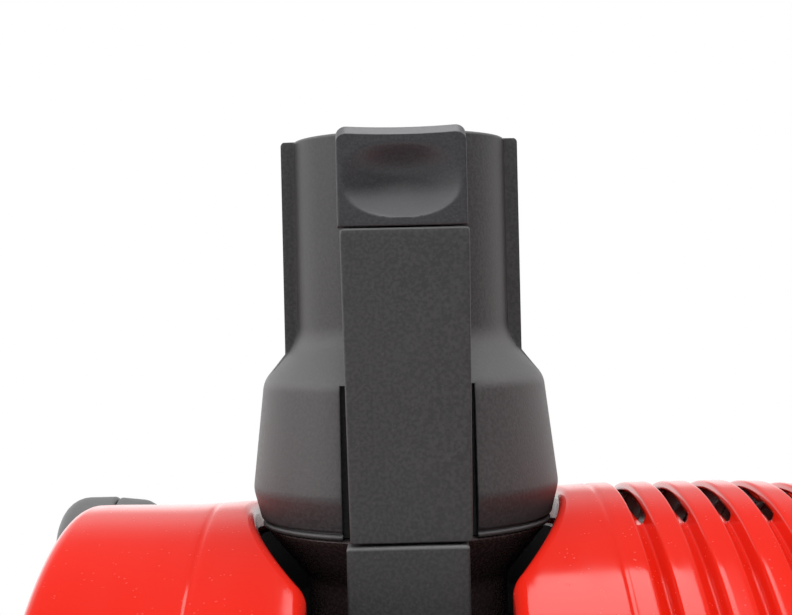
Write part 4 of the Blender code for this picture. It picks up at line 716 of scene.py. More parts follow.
@dataclass
class Shell(Assembly):
    """One red half of the barrel, with the keyhole recess, its rolled edge and the end opening."""

    side: Side = Side.LEFT
    edge_roll: float = 0.0030
    crease: float = 0.0500
    crease_depth: float = 0.00028
    crease_width: float = 0.00055

    @property
    def crease_line(self) -> float:
        """Place along the barrel of the moulding line beside the recess."""
        return S.port_x + self.side.value * self.crease

    @property
    def edge_radius(self) -> float:
        """Outer radius beside the recess."""
        return S.left_radius if self.side is Side.LEFT else S.right_edge_radius

    def columns(self) -> Array:
        """Angles of the grid's columns, fine over the recess, at the blends' bends and at the slots' ends."""
        fine = np.arange(-34, 34.01, 0.5)
        rest = np.arange(36.0, 324.0, 2.0)
        ends = np.array([-12.2, -11.8, 11.8, 12.2, 61.4, 62.0, 62.6, 117.4, 118.0, 118.6])
        ends = np.concatenate([ends, 360 - ends[4:]])
        bend = np.arange(21.25, 28, 0.5)
        every = np.unique(np.round(np.concatenate([fine, rest, ends, bend, -bend]), 3))
        return np.radians(every)

    @staticmethod
    def keyhole(y: Array) -> tuple[Array, Array]:
        """Half width of the recess at a distance in front of or behind the port's axis, and its slope.

        A bowed side blends through a tangent arc of the blend's radius b into the channel:
        bow + sqrt(r^2 - y^2), then centre_x - sqrt(b^2 - (|y| - centre_y)^2), then the channel's half width.
        """
        r, b = S.well_side, S.well_blend
        bow = S.well_half - r
        centre_x = S.channel_half + b
        centre_y = math.sqrt((r + b) ** 2 - (centre_x - bow) ** 2)
        touch = r * centre_y / (r + b)
        far = np.abs(y)
        round_part = np.sqrt(np.maximum(r**2 - far**2, 1e-12))
        rest = np.minimum(far, centre_y) - centre_y
        blend_part = centre_x - np.sqrt(np.maximum(b**2 - rest**2, 1e-12))
        half = np.where(far < touch, bow + round_part, blend_part)
        slope = np.where(far < touch, -far / round_part, rest / (centre_x - blend_part))
        return half, np.where(far < centre_y, slope, 0.0) * np.sign(y)

    def crease_dip(self, x: Array) -> Array:
        """Depth of the soft moulding line that rings the shell beside the recess."""
        return self.crease_depth * np.exp(-(((x - self.crease_line) / self.crease_width) ** 2))

    def radius(self, x: Array) -> Array:
        """Outer radius near the recess: a slight flare and the moulding line."""
        if self.side is Side.LEFT:
            start, end = S.port_x - S.channel_half - 0.003, -S.half_length + S.left_corner
            radii = [S.left_end_radius, S.left_radius - 0.0008, S.left_radius]
            return np.interp(x, [end, self.crease_line, start], radii) - self.crease_dip(x)
        low, high = S.port_x + S.channel_half, S.port_x + S.louvre_start - 0.002
        share = np.clip((x - low) / (high - low), 0, 1)
        flare = S.right_edge_radius + (S.right_radius - S.right_edge_radius) * share
        flat = S.port_x + S.louvre_start + 2.6 * S.louvre_pitch
        return flare - 2.6 * np.maximum(0.0, x - flat) ** 2 - self.crease_dip(x)

    def edge(self) -> tuple[Array, Array, Array]:
        """The rolled edge of the recess.

        The wall stands on the keyhole, with normal n in plan. The outer skin starts at T, the roll's tangent
        point, whose surface normal is N. The roll is the arc of the edge's radius from N to -n round
        C = T - radius * N, and the wall drops from its end, straight down near the port and towards the
        barrel's axis elsewhere, until it meets the rim.

        Returns:
            Wall and roll points, from the rim up to T, (rows, columns, 3); T's x; T's angle.
        """
        turn, sign, rho, radius = self.columns(), self.side.value, self.edge_roll, self.edge_radius
        y = np.where(np.cos(turn) > 0.2, radius * np.sin(turn), 1.0)
        half, slope = self.keyhole(y)
        normal = np.stack([np.full_like(y, sign), -slope, np.zeros_like(y)], axis=-1)
        normal /= np.linalg.norm(normal, axis=-1, keepdims=True)
        lean = 1.0 + normal[:, 1] * np.sin(turn)
        x_top = S.port_x + sign * half + normal[:, 0] * rho * lean
        y_top = y + normal[:, 1] * rho * lean
        turn_top = np.where(np.cos(turn) > 0.5, np.arcsin(np.clip(y_top / radius, -1, 1)), turn)
        outward = np.stack([np.zeros_like(turn), np.sin(turn_top), np.cos(turn_top)], axis=-1)
        centre = on_drum(x_top, self.radius(x_top), turn_top) - rho * outward
        roll = centre + rho * slerp(-normal, outward, np.linspace(0, 1, 9))
        down = np.array([0.0, 0.0, -1.0])
        inward = -outward
        share = smooth_step(0.062, 0.095, np.abs(y) + np.where(np.cos(turn) > 0.2, 0.0, 1.0))[:, None]
        drop = down * (1 - share) + inward * share
        drop /= np.linalg.norm(drop, axis=-1, keepdims=True)
        foot = roll[0] - np.array([0.0, S.axis_y, S.axis_z])
        along = np.sum(foot[:, 1:] * drop[:, 1:], axis=-1)
        above = np.sum(foot[:, 1:] ** 2, axis=-1) - S.rim_radius**2
        reach = -along - np.sqrt(np.maximum(along**2 - above, 0.0))
        reach = np.where(reach > 0.0005, reach, 0.0005)
        wall = roll[0] + drop * reach[:, None] * np.linspace(1, 0, 4)[:-1, None, None]
        return np.concatenate([wall, roll]), x_top, turn_top

    def near_rows(self, x_top: Array, ring: float) -> Array:
        """Places along the barrel for the rows from T to a ring, pushed on where T reaches past them."""
        offsets = np.array([-0.0022, -0.0012, -0.0006, 0.0, 0.0006, 0.0012, 0.0022]) * self.side.value
        plain = S.port_x + self.side.value * np.array([0.030, 0.036, 0.042, 0.0455])
        rows = np.concatenate([plain, self.crease_line + offsets])
        pushed = x_top + self.side.value * 0.00012 * np.arange(1, len(rows) + 1)[:, None]
        pick = np.maximum if self.side is Side.RIGHT else np.minimum
        rows = pick(np.repeat(rows[:, None], len(x_top), axis=1), pushed)
        return np.vstack([rows, np.full((1, len(x_top)), ring)])

    def skin(self, profile: Array, ring: float) -> tuple[Array, int]:
        """The whole outer skin as a grid, and the number of its first row on the profile."""
        edge, x_top, turn_top = self.edge()
        rows = self.near_rows(x_top, ring)
        near = on_drum(rows, self.radius(rows), turn_top)
        far = on_drum(profile[:, :1], profile[:, 1:], turn_top)
        return np.concatenate([edge, near, far]), len(edge) + len(near)

    def thicken(self, made: Piece, wall: float) -> None:
        """Gives the skin its wall, inwards."""
        solid = made.modifiers.new("wall", "SOLIDIFY")
        solid.thickness, solid.offset = wall, -1.0


@dataclass
class LeftShell(Shell):
    """The plain shell: a slight taper, a round corner and the flat end that carries the controls."""

    side: Side = Side.LEFT
    wall: float = 0.0024
    ring: float = 0.0560
    end_reach: float = 0.0024
    end_rise: float = 0.0016

    def build(self) -> None:
        """Sweeps the profile from the ring past the moulding line over the corner to the end opening."""
        end = -S.half_length - self.end_reach
        low = S.left_end_radius + self.end_rise
        ring = S.port_x - self.ring
        corners = [(ring, float(self.radius(np.array(ring)))), (end + S.left_corner, low),
                   (end, low - 0.0001), (end, S.opening_radius), (end + 0.003, S.opening_radius)]
        profile = fillet(corners, [0, 0, S.left_corner * 0.995, 0.0006, 0], 12)[12:]
        points, _ = self.skin(profile, ring)
        patch = Patchwork()
        patch.grid(points[:, ::-1], around=True)
        made = patch.build("left_shell_skin", 50.0, skin=True)
        self.thicken(made, self.wall)
        self.fit(made, RED, "left_shell")


@dataclass
class RightShell(Shell):
    """The shell with the intake: sawtooth grooves, slots through their lower part, and a soft shoulder.

    Each entry of slots is the middle of a row of slots round the barrel and half its length, in degrees.
    """

    side: Side = Side.RIGHT
    crease: float = 0.0490
    wall: float = 0.0016
    ring: float = 0.0530
    louvres: int = 7
    land: float = 0.0057
    depth: float = 0.0036
    fall: float = 0.68
    shoulder: float = 0.0178
    shoulder_drop: float = 0.0180
    slots: tuple[Pair, ...] = ((0.0, 12.0), (90.0, 28.0), (-90.0, 28.0))
    slot_round: float = 0.0013

    def profile(self, ring: float) -> tuple[Array, list[tuple[int, int, float, float]]]:
        """The profile from the ring to the end opening.

        Returns:
            The profile's points, and for each groove the rows between which it is cut through, with the
            places along the barrel where the cut starts and ends.
        """
        parts = [np.array([[ring, float(self.radius(np.array(ring)))]])]
        cuts = []
        count = 1
        for k in range(self.louvres):
            left = S.port_x + S.louvre_start + k * S.louvre_pitch
            right = left + S.louvre_pitch - self.land
            bottom = left + (right - left) * self.fall
            marks = np.array([left - 0.0012, left, bottom, right, right + 0.0016])
            line = np.stack([marks, self.radius(marks)], axis=1)
            line[2, 1] -= self.depth
            rounded = fillet(line, [0, 0.0007, 0.0004, 0.0010, 0], 4)
            first, second, third = rounded[5:10], rounded[10:15], rounded[15:20]
            down = first[-1] + (second[0] - first[-1]) * np.linspace(0, 1, 6)[1:-1, None]
            up = second[-1] + (third[0] - second[-1]) * np.linspace(0, 1, 5)[1:-1, None]
            groove = np.vstack([rounded[:1], first, down, second, up, third, rounded[-1:]])
            cuts.append((count + 5, count + 17, float(first[-1, 0]), float(up[1, 0])))
            parts.append(groove)
            count += len(groove)
        start = S.half_length - self.shoulder
        top = float(self.radius(np.array(start)))
        turn = np.linspace(0, math.pi / 2, 20)
        shoulder = np.stack([start + self.shoulder * np.sin(turn),
                             top - self.shoulder_drop * (1 - np.cos(turn))], axis=1)
        corners = [(S.half_length, top - self.shoulder_drop), (S.half_length, S.opening_radius),
                   (S.half_length - 0.003, S.opening_radius)]
        end = fillet(corners, [0, 0.0006, 0], 4)[4:]
        return np.vstack(parts + [shoulder, end]), cuts

    def build(self) -> None:
        """Sweeps the profile, then leaves out the quads of the slots, whose ends a warp draws round."""
        ring = S.port_x + self.ring
        profile, cuts = self.profile(ring)
        points, first = self.skin(profile, ring)
        turn = np.arctan2(points[-1, :, 1] - S.axis_y, points[-1, :, 2] - S.axis_z)
        keep = np.ones((len(points) - 1, points.shape[1]), bool)
        between = (turn + np.roll(turn, -1)) / 2
        between = np.where(np.abs(turn - np.roll(turn, -1)) > math.pi, math.pi, between)
        for low, high, start, end in cuts:
            rows = slice(first + low - 1, first + high + 1)
            across = (profile[low - 1 : high + 1, 0] - (start + end) / 2) / (end - start) * 2
            pull = 1 - np.sqrt(np.maximum(0.0, 1 - np.clip(across, -1, 1) ** 2))
            pull = pull * self.slot_round / S.right_radius
            for here, wide in np.radians(self.slots):
                keep[first + low : first + high - 1] &= ~(np.abs(between - here) < wide)
                for sign in (-1, 1):
                    gap = turn - (here + sign * wide)
                    shift = -sign * pull[:, None] * np.exp(-((gap / math.radians(1.1)) ** 2))
                    moved = turn + shift
                    radius = np.linalg.norm(points[rows][..., 1:] - (S.axis_y, S.axis_z), axis=-1)
                    fresh = on_drum(points[rows][..., 0], radius, moved)
                    near = np.abs(gap) < math.radians(3.0)
                    points[rows] = np.where(near[None, :, None], fresh, points[rows])
        patch = Patchwork()
        patch.grid(points, around=True, keep=keep)
        made = patch.build("right_shell_skin", 50.0, skin=True)
        self.thicken(made, self.wall)
        self.fit(made, RED, "right_shell")


@dataclass
class Channel(Assembly):
    """The black liner under the recess: the centre band round the barrel and the keyhole well at the top."""

    flange: float = 0.0110
    flange_depth: float = 0.0030
    floor_depth: float = 0.0018
    foot: float = 0.0015

    def band(self) -> None:
        """A turned U-section, left open where its floor would rise above the floor of the well."""
        half = S.channel_half - S.gap
        lip, floor = S.rim_radius - S.gap, S.band_radius
        low, far = lip - self.flange_depth, half + self.flange
        line = [(-far, lip), (-half, lip), (-half, floor), (half, floor), (half, lip), (far, lip), (far, low),
                (-far, low)]
        radii = [0.0004, 0.0010, 0.0008, 0.0008, 0.0010, 0.0004, 0.0004, 0.0004]
        profile = fillet(line, radii, 3, closed=True) + (S.port_x, 0.0)
        stop = math.acos(S.well_floor / S.band_radius)
        turn = np.linspace(stop, 2 * math.pi - stop, 260)
        patch = Patchwork()
        index = patch.grid(on_drum(profile[:, :1], profile[:, 1:], turn), along=True)
        patch.cap(index[:, 0])
        patch.cap(index[:, -1])
        self.fit(patch.build("centre_band_ring"), SHADED_LINER, "centre_band")

    def well(self) -> None:
        """A cup whose wall follows the keyhole, with a round inner foot, a flat floor and an outer side."""
        reach = math.sqrt(S.band_radius**2 - S.well_floor**2)
        y = np.linspace(-reach, reach, 121)
        half, _ = Shell.keyhole(y)
        outline = np.concatenate([np.stack([half, y], 1), np.stack([-half, y], 1)[::-1]])
        top = np.sqrt((S.rim_radius - 0.0006) ** 2 - np.concatenate([y, y[::-1]]) ** 2)
        rows = []
        wall = ((0.0006, 0.0), (0.0006, 1.0), (0.0008, 1.0), (0.0010, 0.97), (0.0016, 0.6), (0.0022, 0.2))
        for draw, height in wall:
            level = (S.well_floor - self.floor_depth) * (1 - height) + top * height
            rows.append(np.column_stack([inset(outline, draw), np.broadcast_to(level, len(outline))]))
        for turn in np.linspace(0, math.pi / 2, 5):
            draw = wall[-1][0] + self.foot * (1 - math.cos(turn))
            level = S.well_floor + self.foot * (1 - math.sin(turn))
            rows.append(np.column_stack([inset(outline, draw), np.full(len(outline), level)]))
        rows = np.stack(rows) + (S.port_x, S.axis_y, S.axis_z)
        patch = Patchwork()
        index = patch.grid(rows, around=True)
        patch.cap(index[0])
        patch.cap(index[-1])
        self.fit(patch.build("outlet_well_cup"), SHADED_LINER, "outlet_well")

    def build(self) -> None:
        """Builds the band and the well."""
        self.band()
        self.well()


@dataclass
class Outlet(Assembly):
    """The fixed neck with its cone collar and spigot, and the flat spine in front of it."""

    neck: float = 0.0260
    collar: float = 0.0364
    spigot: float = 0.0245
    groove: float = 0.0231
    bore: float = 0.0213
    spine_half: float = 0.0146
    spine_front: float = 0.0418
    spine_back: float = 0.0240

    def build(self) -> None:
        """Turns the neck and pushes the spine up from the floor of the well."""
        foot = S.well_floor - S.lip_radius - 0.004
        below = self.collar - 0.0006
        line = [(foot, self.bore), (foot, self.neck), (-0.0136, self.neck), (-0.0016, below),
                (-0.0006, self.collar), (-0.0003, below), (-0.0003, self.spigot), (0.0078, self.spigot),
                (0.0080, self.groove), (0.0105, self.groove), (0.0107, self.spigot), (0.0140, self.spigot),
                (0.0141, self.groove), (0.0160, self.groove), (0.0161, self.spigot), (0.0200, self.spigot),
                (0.0200, self.bore)]
        radii = [0, 0, 0.006, 0.0008, 0.0003, 0.0003] + [0.0002] * 9 + [0.0005, 0.0005]
        neck = turned("outlet_neck_collar", fillet(line, radii, 6, closed=True), Axis.PORT, count=160)
        self.fit(neck, NECK_RED_REFLECTION, "outlet_neck")
        heights = np.linspace(foot + 0.004, -0.0004, 24)
        half, back = np.full(24, self.spine_half), np.full(24, self.spine_back)
        spine = strip("neck_spine_bar", heights, half, self.spine_front, back, (0.0002, 0.0009), 0.0007)
        self.fit(spine, CHARCOAL, "neck_spine")


def strip(name: str, heights: Array, half: Array, front: float, back: Array, ends: Pair, edge: float,
          corner: float = 0.0, cavity: Pair = (math.inf, 0.001)) -> Piece:
    """A flat-fronted bar that stands up the port.

    Its section is a rectangle from the front to a back line, the front corners round. The section shrinks
    by edge * (1 - sin a) at an end while it rises by edge * (1 - cos a), which rounds the end's rim. From a
    given height up the back line is drawn in to within a wall of the front and of the sides.

    Args:
        name: the object's name.
        heights: heights of the sections, upwards.
        half: half width of each section.
        front: distance of the front from the port's axis.
        back: distance of each section's back, or its radius round the port's axis where this is negative.
        ends: radius of the rim at the bottom and at the top.
        edge: radius of the two front corners.
        corner: radius of the top corners in front view.
        cavity: the height above which the bar is hollow, and its wall there.
    """
    turn = np.linspace(0, math.pi / 2, 6)
    low = [(heights[0] + ends[0] * (1 - math.cos(a)), ends[0] * (1 - math.sin(a))) for a in turn]
    high = [(heights[-1] - ends[1] * (1 - math.cos(a)), ends[1] * (1 - math.sin(a))) for a in turn[::-1]]
    inner = [(h, 0.0) for h in heights[1:-1] if low[-1][0] < h < high[0][0]]
    levels = np.array([(heights[0], ends[0] + 0.0002), *low, *inner, *high, (heights[-1], ends[1] + 0.0002)])
    h, draw = levels[:, 0], levels[:, 1]
    full = np.interp(h, heights, half)
    width = full - draw
    if corner > 0:
        rise = np.clip(corner - (heights[-1] - h), 0.0, corner)
        width = np.minimum(width, full - corner + np.sqrt(corner**2 - rise**2) - draw * 0.5)
    depth = np.interp(h, heights, back)
    out = edge * (1 - np.cos(turn))[None, :]
    off = edge * (1 - np.sin(turn))[None, :]
    u = np.linspace(-1, 1, 13)[1:-1]
    sides = np.linspace(0, 1, 5)[1:-1]
    wide, face = width[:, None], (front - draw)[:, None]
    hollow_from, wall = cavity
    back_x = np.hstack([wide, (wide - wall) * np.concatenate([[1], np.linspace(1, -1, 13), [-1]]), -wide])
    round_back = np.sqrt(np.maximum(depth[:, None] ** 2 - back_x**2, 1e-9))
    back_y = np.where(depth[:, None] < 0, round_back, depth[:, None])
    back_y[h > hollow_from, 2:-2] = front - wall
    x = np.hstack([out - wide, (wide - edge) * u, wide - out[:, ::-1], wide * np.ones(3), back_x,
                   -wide * np.ones(3)])
    y = np.hstack([face - off, face * np.ones(len(u)), face - off[:, ::-1],
                   (face - edge) * (1 - sides) + back_y[:, :1] * sides, back_y,
                   back_y[:, -1:] * (1 - sides) + (face - edge) * sides])
    patch = Patchwork()
    index = patch.grid(on_port(x, -y, h[:, None]), around=True)
    patch.cap(index[0])
    patch.cap(index[-1])
    return patch.build(name)


@dataclass
class Swivelled(Assembly):
    """A sub-assembly on the swivel, turned a little to the side as the photograph shows it."""

    turn: float = 1.2

    def fit(self, made: Piece, finish: Finish, *nodes: str, body: str = "") -> Piece:
        """Turns the new mesh about the port's axis, then finishes it as every piece."""
        centre = Vector((S.port_x, S.axis_y, 0.0))
        spin = Matrix.Rotation(math.radians(self.turn), 4, "Z")
        made.data.transform(Matrix.Translation(centre) @ spin @ Matrix.Translation(-centre))
        return super().fit(made, finish, *nodes, body=body)


@dataclass
class Port(Swivelled):
    """The swivelling port: skirt, tube and wings, the slot for the strip, the latch cover over it."""

    body: str = "port"

    def section(self, radius: Array, wing: Array, slotted: Array) -> Array:
        """Plan sections of the body, (rows, columns, 2), anticlockwise from the front.

        Columns on the slot's floor and walls keep their x, so the slot has straight walls. The others keep
        their angle, and there the surface is the larger of the round body and the wing, whose side is the
        plane |x| = wing and whose back is the plane y = wing_back, all in polar form.

        Args:
            radius: radius of the round body in each row.
            wing: half width over the wings in each row, 0 where there are none.
            slotted: 1 in rows that the slot crosses, else 0.
        """
        r, cut = radius[:, None], slotted[:, None]
        half, back, lip = S.slot_half, S.tube_radius + 0.0011, 0.0005
        floor_x = np.linspace(0, half - 0.0005, 8)[None, :] * np.ones_like(r)
        surface = np.sqrt(np.maximum(r**2 - floor_x**2, 1e-9))
        floor_y = np.where(cut > 0, np.minimum(surface, back), surface)
        share = np.linspace(0, 1, 5)[None, :]
        wall_x = half - (1 - share) * 0.0004 * (1 - cut)
        edge = np.sqrt(np.maximum(r**2 - half**2, 1e-9)) - lip
        surface = np.sqrt(np.maximum(r**2 - wall_x**2, 1e-9))
        wall_y = np.where(cut > 0, np.minimum(back, edge) * (1 - share) + edge * share, surface)
        turn = np.linspace(0, math.pi / 2, 5)[None, 1:]
        lip_x = half + lip * (1 - np.cos(turn)) * np.ones_like(r)
        surface = np.sqrt(np.maximum(r**2 - lip_x**2, 1e-9))
        lip_y = surface - cut * lip * (1 - np.sin(turn))
        start = -np.arccos(np.clip((half + lip) / r, -1, 1))
        near = start + (math.radians(-42) - start) * np.linspace(0, 1, 13)[None, 1:]
        front = math.degrees(math.asin(S.wing_front / S.tube_radius))
        fixed = np.unique(np.concatenate([np.arange(-40, 90.1, 1.8), front + np.arange(-0.8, 0.81, 0.13),
                                          [20, 20.5, 21, 21.4, 21.8, 24.6, 25.0, 25.4, 25.8, 26.2, 90.0]]))
        fixed = np.radians(fixed)[None, :] * np.ones_like(r)
        angle = np.hstack([near, fixed])
        side = wing[:, None] / np.maximum(np.cos(angle), 0.2)
        rear = S.wing_back / np.maximum(np.sin(angle), 0.05)
        fin = -smooth_max(-side, -rear, 0.0012)
        full = smooth_max(r, fin, 0.0010)
        mask = smooth_step(math.radians(front - 0.35), math.radians(front + 0.25), angle) * (fin > r - 0.0015)
        spread = np.where(angle < math.radians(60), r + (full - r) * mask, r)
        xs = np.hstack([floor_x, wall_x * np.ones_like(r), lip_x, spread * np.cos(angle)])
        ys = np.hstack([-floor_y, -wall_y, -lip_y, spread * np.sin(angle)])
        xs = np.hstack([xs, -xs[:, -2:0:-1]])
        ys = np.hstack([ys, ys[:, -2:0:-1]])
        return np.stack([xs, ys], axis=-1)

    def shell(self) -> None:
        """Sweeps the sections up the outside, over the rim and down the bore to the hose stop and the lip."""
        top, tube = S.port_height, S.tube_radius
        line = [(0.0, 0.0340), (0.0, 0.0376), (0.0013, 0.0376), (0.00135, 0.0362), (0.0019, 0.0362),
                (0.0020, 0.0379),
                (0.0098, 0.03985), (0.0377, 0.0366), (0.0476, tube), (top, tube)]
        radii = [0, 0.0006, 0.0006, 0.0001, 0.0001, 0.0008, 0.0075, 0.0070, 0.0110, 0]
        lower = fillet(line, radii, 8)[9:]
        slit = np.array([[S.slit_top - 0.00003, 0.0], [S.slit_top + 0.00003, 0.0]])
        slit[:, 1] = np.interp(slit[:, 0], lower[:, 0], lower[:, 1])
        spread = np.array([[h, 0.0] for h in (*np.linspace(0.014, 0.034, 7), *np.linspace(0.055, 0.090, 8))])
        spread[:, 1] = np.interp(spread[:, 0], lower[:, 0], lower[:, 1])
        crown = np.stack([S.wing_top - S.wing_corner * np.array([1.0, 0.8, 0.6]), np.full(3, tube)], 1)
        steep = lower[:9 * 5]
        outer = np.vstack([lower[9 * 5 :], slit, spread, crown])
        outer = np.vstack([steep, outer[np.argsort(outer[:, 0], kind="stable")]])
        outer = outer[outer[:, 0] < top - 0.0009]
        turn = np.linspace(0, math.pi / 2, 9)
        rim = np.stack([top - 0.0008 * (1 - np.sin(turn)), tube - 0.0008 * (1 - np.cos(turn))], 1)
        h, corner = np.concatenate([outer[:, 0], rim[:, 0]]), S.wing_corner
        rise = np.clip(h - S.wing_top + corner, 0, corner)
        wing = np.where((h > S.wing_top) | (h < 0.034), 0.0,
                        S.wing_half - corner + np.sqrt(corner**2 - rise**2))
        bore = S.tube_bore
        inner = [(top, tube - 0.0009), (top, bore), (0.0240, bore), (0.0240, 0.0223), (0.0215, 0.0223),
                 (0.0215, bore),
                 (0.0, bore), (0.0, 0.0340)]
        inner = fillet(inner, [0, 0.0008, 0.0004, 0.0004, 0.0002, 0.0003, 0.0003, 0], 4)
        deep = np.linspace(0.090, 0.030, 8)
        inner = np.vstack([inner[:10], np.stack([deep, np.full(8, bore)], 1), inner[10:]])
        profile = np.vstack([outer, rim, inner])
        wings = np.concatenate([wing, np.zeros(len(inner))])
        cut = np.concatenate([(outer[:, 0] < S.slit_top).astype(float), np.zeros(len(rim)),
                              np.zeros(len(inner))])
        outside = (np.arange(len(profile)) >= len(outer) + len(rim)) & (profile[:, 0] < S.slit_top)
        cut = np.where(outside & (profile[:, 1] > 0.0335), 1.0, cut)
        plan = self.section(profile[:, 1], wings, cut)
        patch = Patchwork()
        patch.grid(on_port(plan[..., 0], plan[..., 1], profile[:, :1]), around=True, along=True)
        self.fit(patch.build("port_body_shell", 35.0, merge=1e-6), CHARCOAL, "port_body")

    def cover(self) -> None:
        """The strip in front: flat, a little wider at the top, hollow behind its upper part."""
        heights = np.concatenate([np.linspace(0.0003, 0.0370, 14), [0.0374, 0.0398],
                                  np.linspace(0.0400, S.strip_top, 20)])
        half = np.interp(heights, [0, S.strip_top], [0.01450, 0.01545])
        back = np.where(heights < 0.0372, 0.0292, -0.0268)
        made = strip("latch_cover_strip", heights, half, S.strip_front, back, (0.0004, 0.0006), 0.0006,
                     0.0010,
                     (0.0399, 0.0022))
        self.fit(made, CHARCOAL, "latch_cover")

    def build(self) -> None:
        """Builds the body and the cover, and dresses what they hold."""
        self.shell()
        self.cover()
        self.dress(STEEL, "latch_pin", "latch_spring", "port_retaining_ring")
        self.dress(RUBBER, "port_seal")


@dataclass
class Latch(Swivelled):
    """The thumb button that frees the hose, with its lever and hook."""

    body: str = "latch"
    turn: float = 0.6
    half: float = 0.0155
    low: float = 0.0753
    high: float = 0.0994
    thickness: float = 0.0072

    def face(self) -> Piece:
        """The button's plate.

        A grid over (u, v): x = u * half, and v runs from the low edge to the top edge, which dips in the
        middle and turns down at two round corners. The front is set back by a quarter-round rim, by a
        chamfer along the top edge and by a scoop: depth * (1 - r^2.2), r being the superellipse radius
        (|x/a|^m + |z/b|^m)^(1/m) round the scoop's middle, and grows steeper towards the top.
        """
        rim = 0.0006
        edge = rim * (1 - np.cos(np.linspace(0, math.pi / 2, 6)))
        u = np.concatenate([edge[:-1], np.linspace(rim, 2 * self.half - rim, 61),
                            (2 * self.half - edge)[::-1][1:]])
        x = (u - self.half)[None, :]
        corner = 0.0026
        round_off = np.clip(np.abs(x) - self.half + corner, 0.0, corner)
        top = self.high - 0.0006 * (1 - (x / self.half) ** 2) - corner + np.sqrt(corner**2 - round_off**2)
        span = self.high - self.low
        v = np.concatenate([edge[:-1], np.linspace(rim, span - 0.0026, 60),
                            np.linspace(span - 0.0024, span - rim, 14),
                            (span - edge)[::-1][1:]])[:, None] / span
        z = self.low + v * (top - self.low)
        side = np.minimum(self.half - np.abs(x), np.minimum(z - self.low, 1.0))
        back = rim - np.sqrt(np.maximum(rim**2 - np.clip(rim - side, 0, rim) ** 2, 0.0))
        from_top = top - z
        chamfer = 1.3 * np.maximum(0.0, 0.0019 - from_top)
        middle, a, b = self.low + 0.0110, 0.0142, 0.0090
        power = np.where(z > middle, 2.6, 2.2)
        away = (np.abs(x / a) ** power + np.abs((z - middle) / b) ** power) ** (1 / power)
        soft = 1.0 + 0.45 * smooth_step(-0.5, 0.6, (z - middle) / b)
        scoop = 0.0056 * np.maximum(0.0, 1 - away**2) ** soft
        y = -S.strip_front + back + chamfer + scoop
        front = on_port(x * np.ones_like(z), y, z)
        rear = on_port(x * np.ones_like(z), -S.strip_front + self.thickness + 0 * z, z)
        patch = Patchwork()
        ahead, behind = patch.grid(front), patch.grid(rear[:, ::-1])
        ring = [np.concatenate([i[0, :-1], i[:-1, -1], i[-1, :0:-1],
                                i[:0:-1, 0]]) for i in (ahead, behind[:, ::-1])]
        around = np.stack(ring)
        closed = np.hstack([around, around[:, :1]])
        patch.quads.append(np.stack([closed[:-1, :-1], closed[1:, :-1], closed[1:, 1:], closed[:-1, 1:]],
                                    -1).reshape(-1, 4))
        return patch.build("button_plate", 38.0)

    def build(self) -> None:
        """Joins the plate with the shelf, the lever, its hub and the hook."""
        pin_y, pin_z = -0.0335, 0.0700
        shelf = slab("shelf", rounded_rect(0.0090, 0.0015, 0.0005, (0, self.low + 0.0015)), -0.0405,
                     pin_y + 0.0012, Axis.FRONT)
        lever = slab("lever", rounded_rect(0.0090, 0.0149, 0.0010, (0, 0.0605)), pin_y - 0.0012,
                     pin_y + 0.0012, Axis.FRONT)
        hook = slab("hook", rounded_rect(0.0050, 0.00175, 0.0006, (0, 0.04735)), pin_y, -0.0242, Axis.FRONT)
        ends = fillet([(-0.0090, 0), (-0.0090, 0.0032), (0.0090, 0.0032), (0.0090, 0)],
                      [0, 0.0004, 0.0004, 0], 3)
        hub = turned("hub", ends + (S.port_x, 0.0), Axis.DRUM, (pin_y, S.lip_radius + pin_z), 32,
                     closed=False)
        self.fit(joined("thumb_button_lever", self.face(), shelf, lever, hook, hub), CHARCOAL_FINE,
                 "thumb_button")


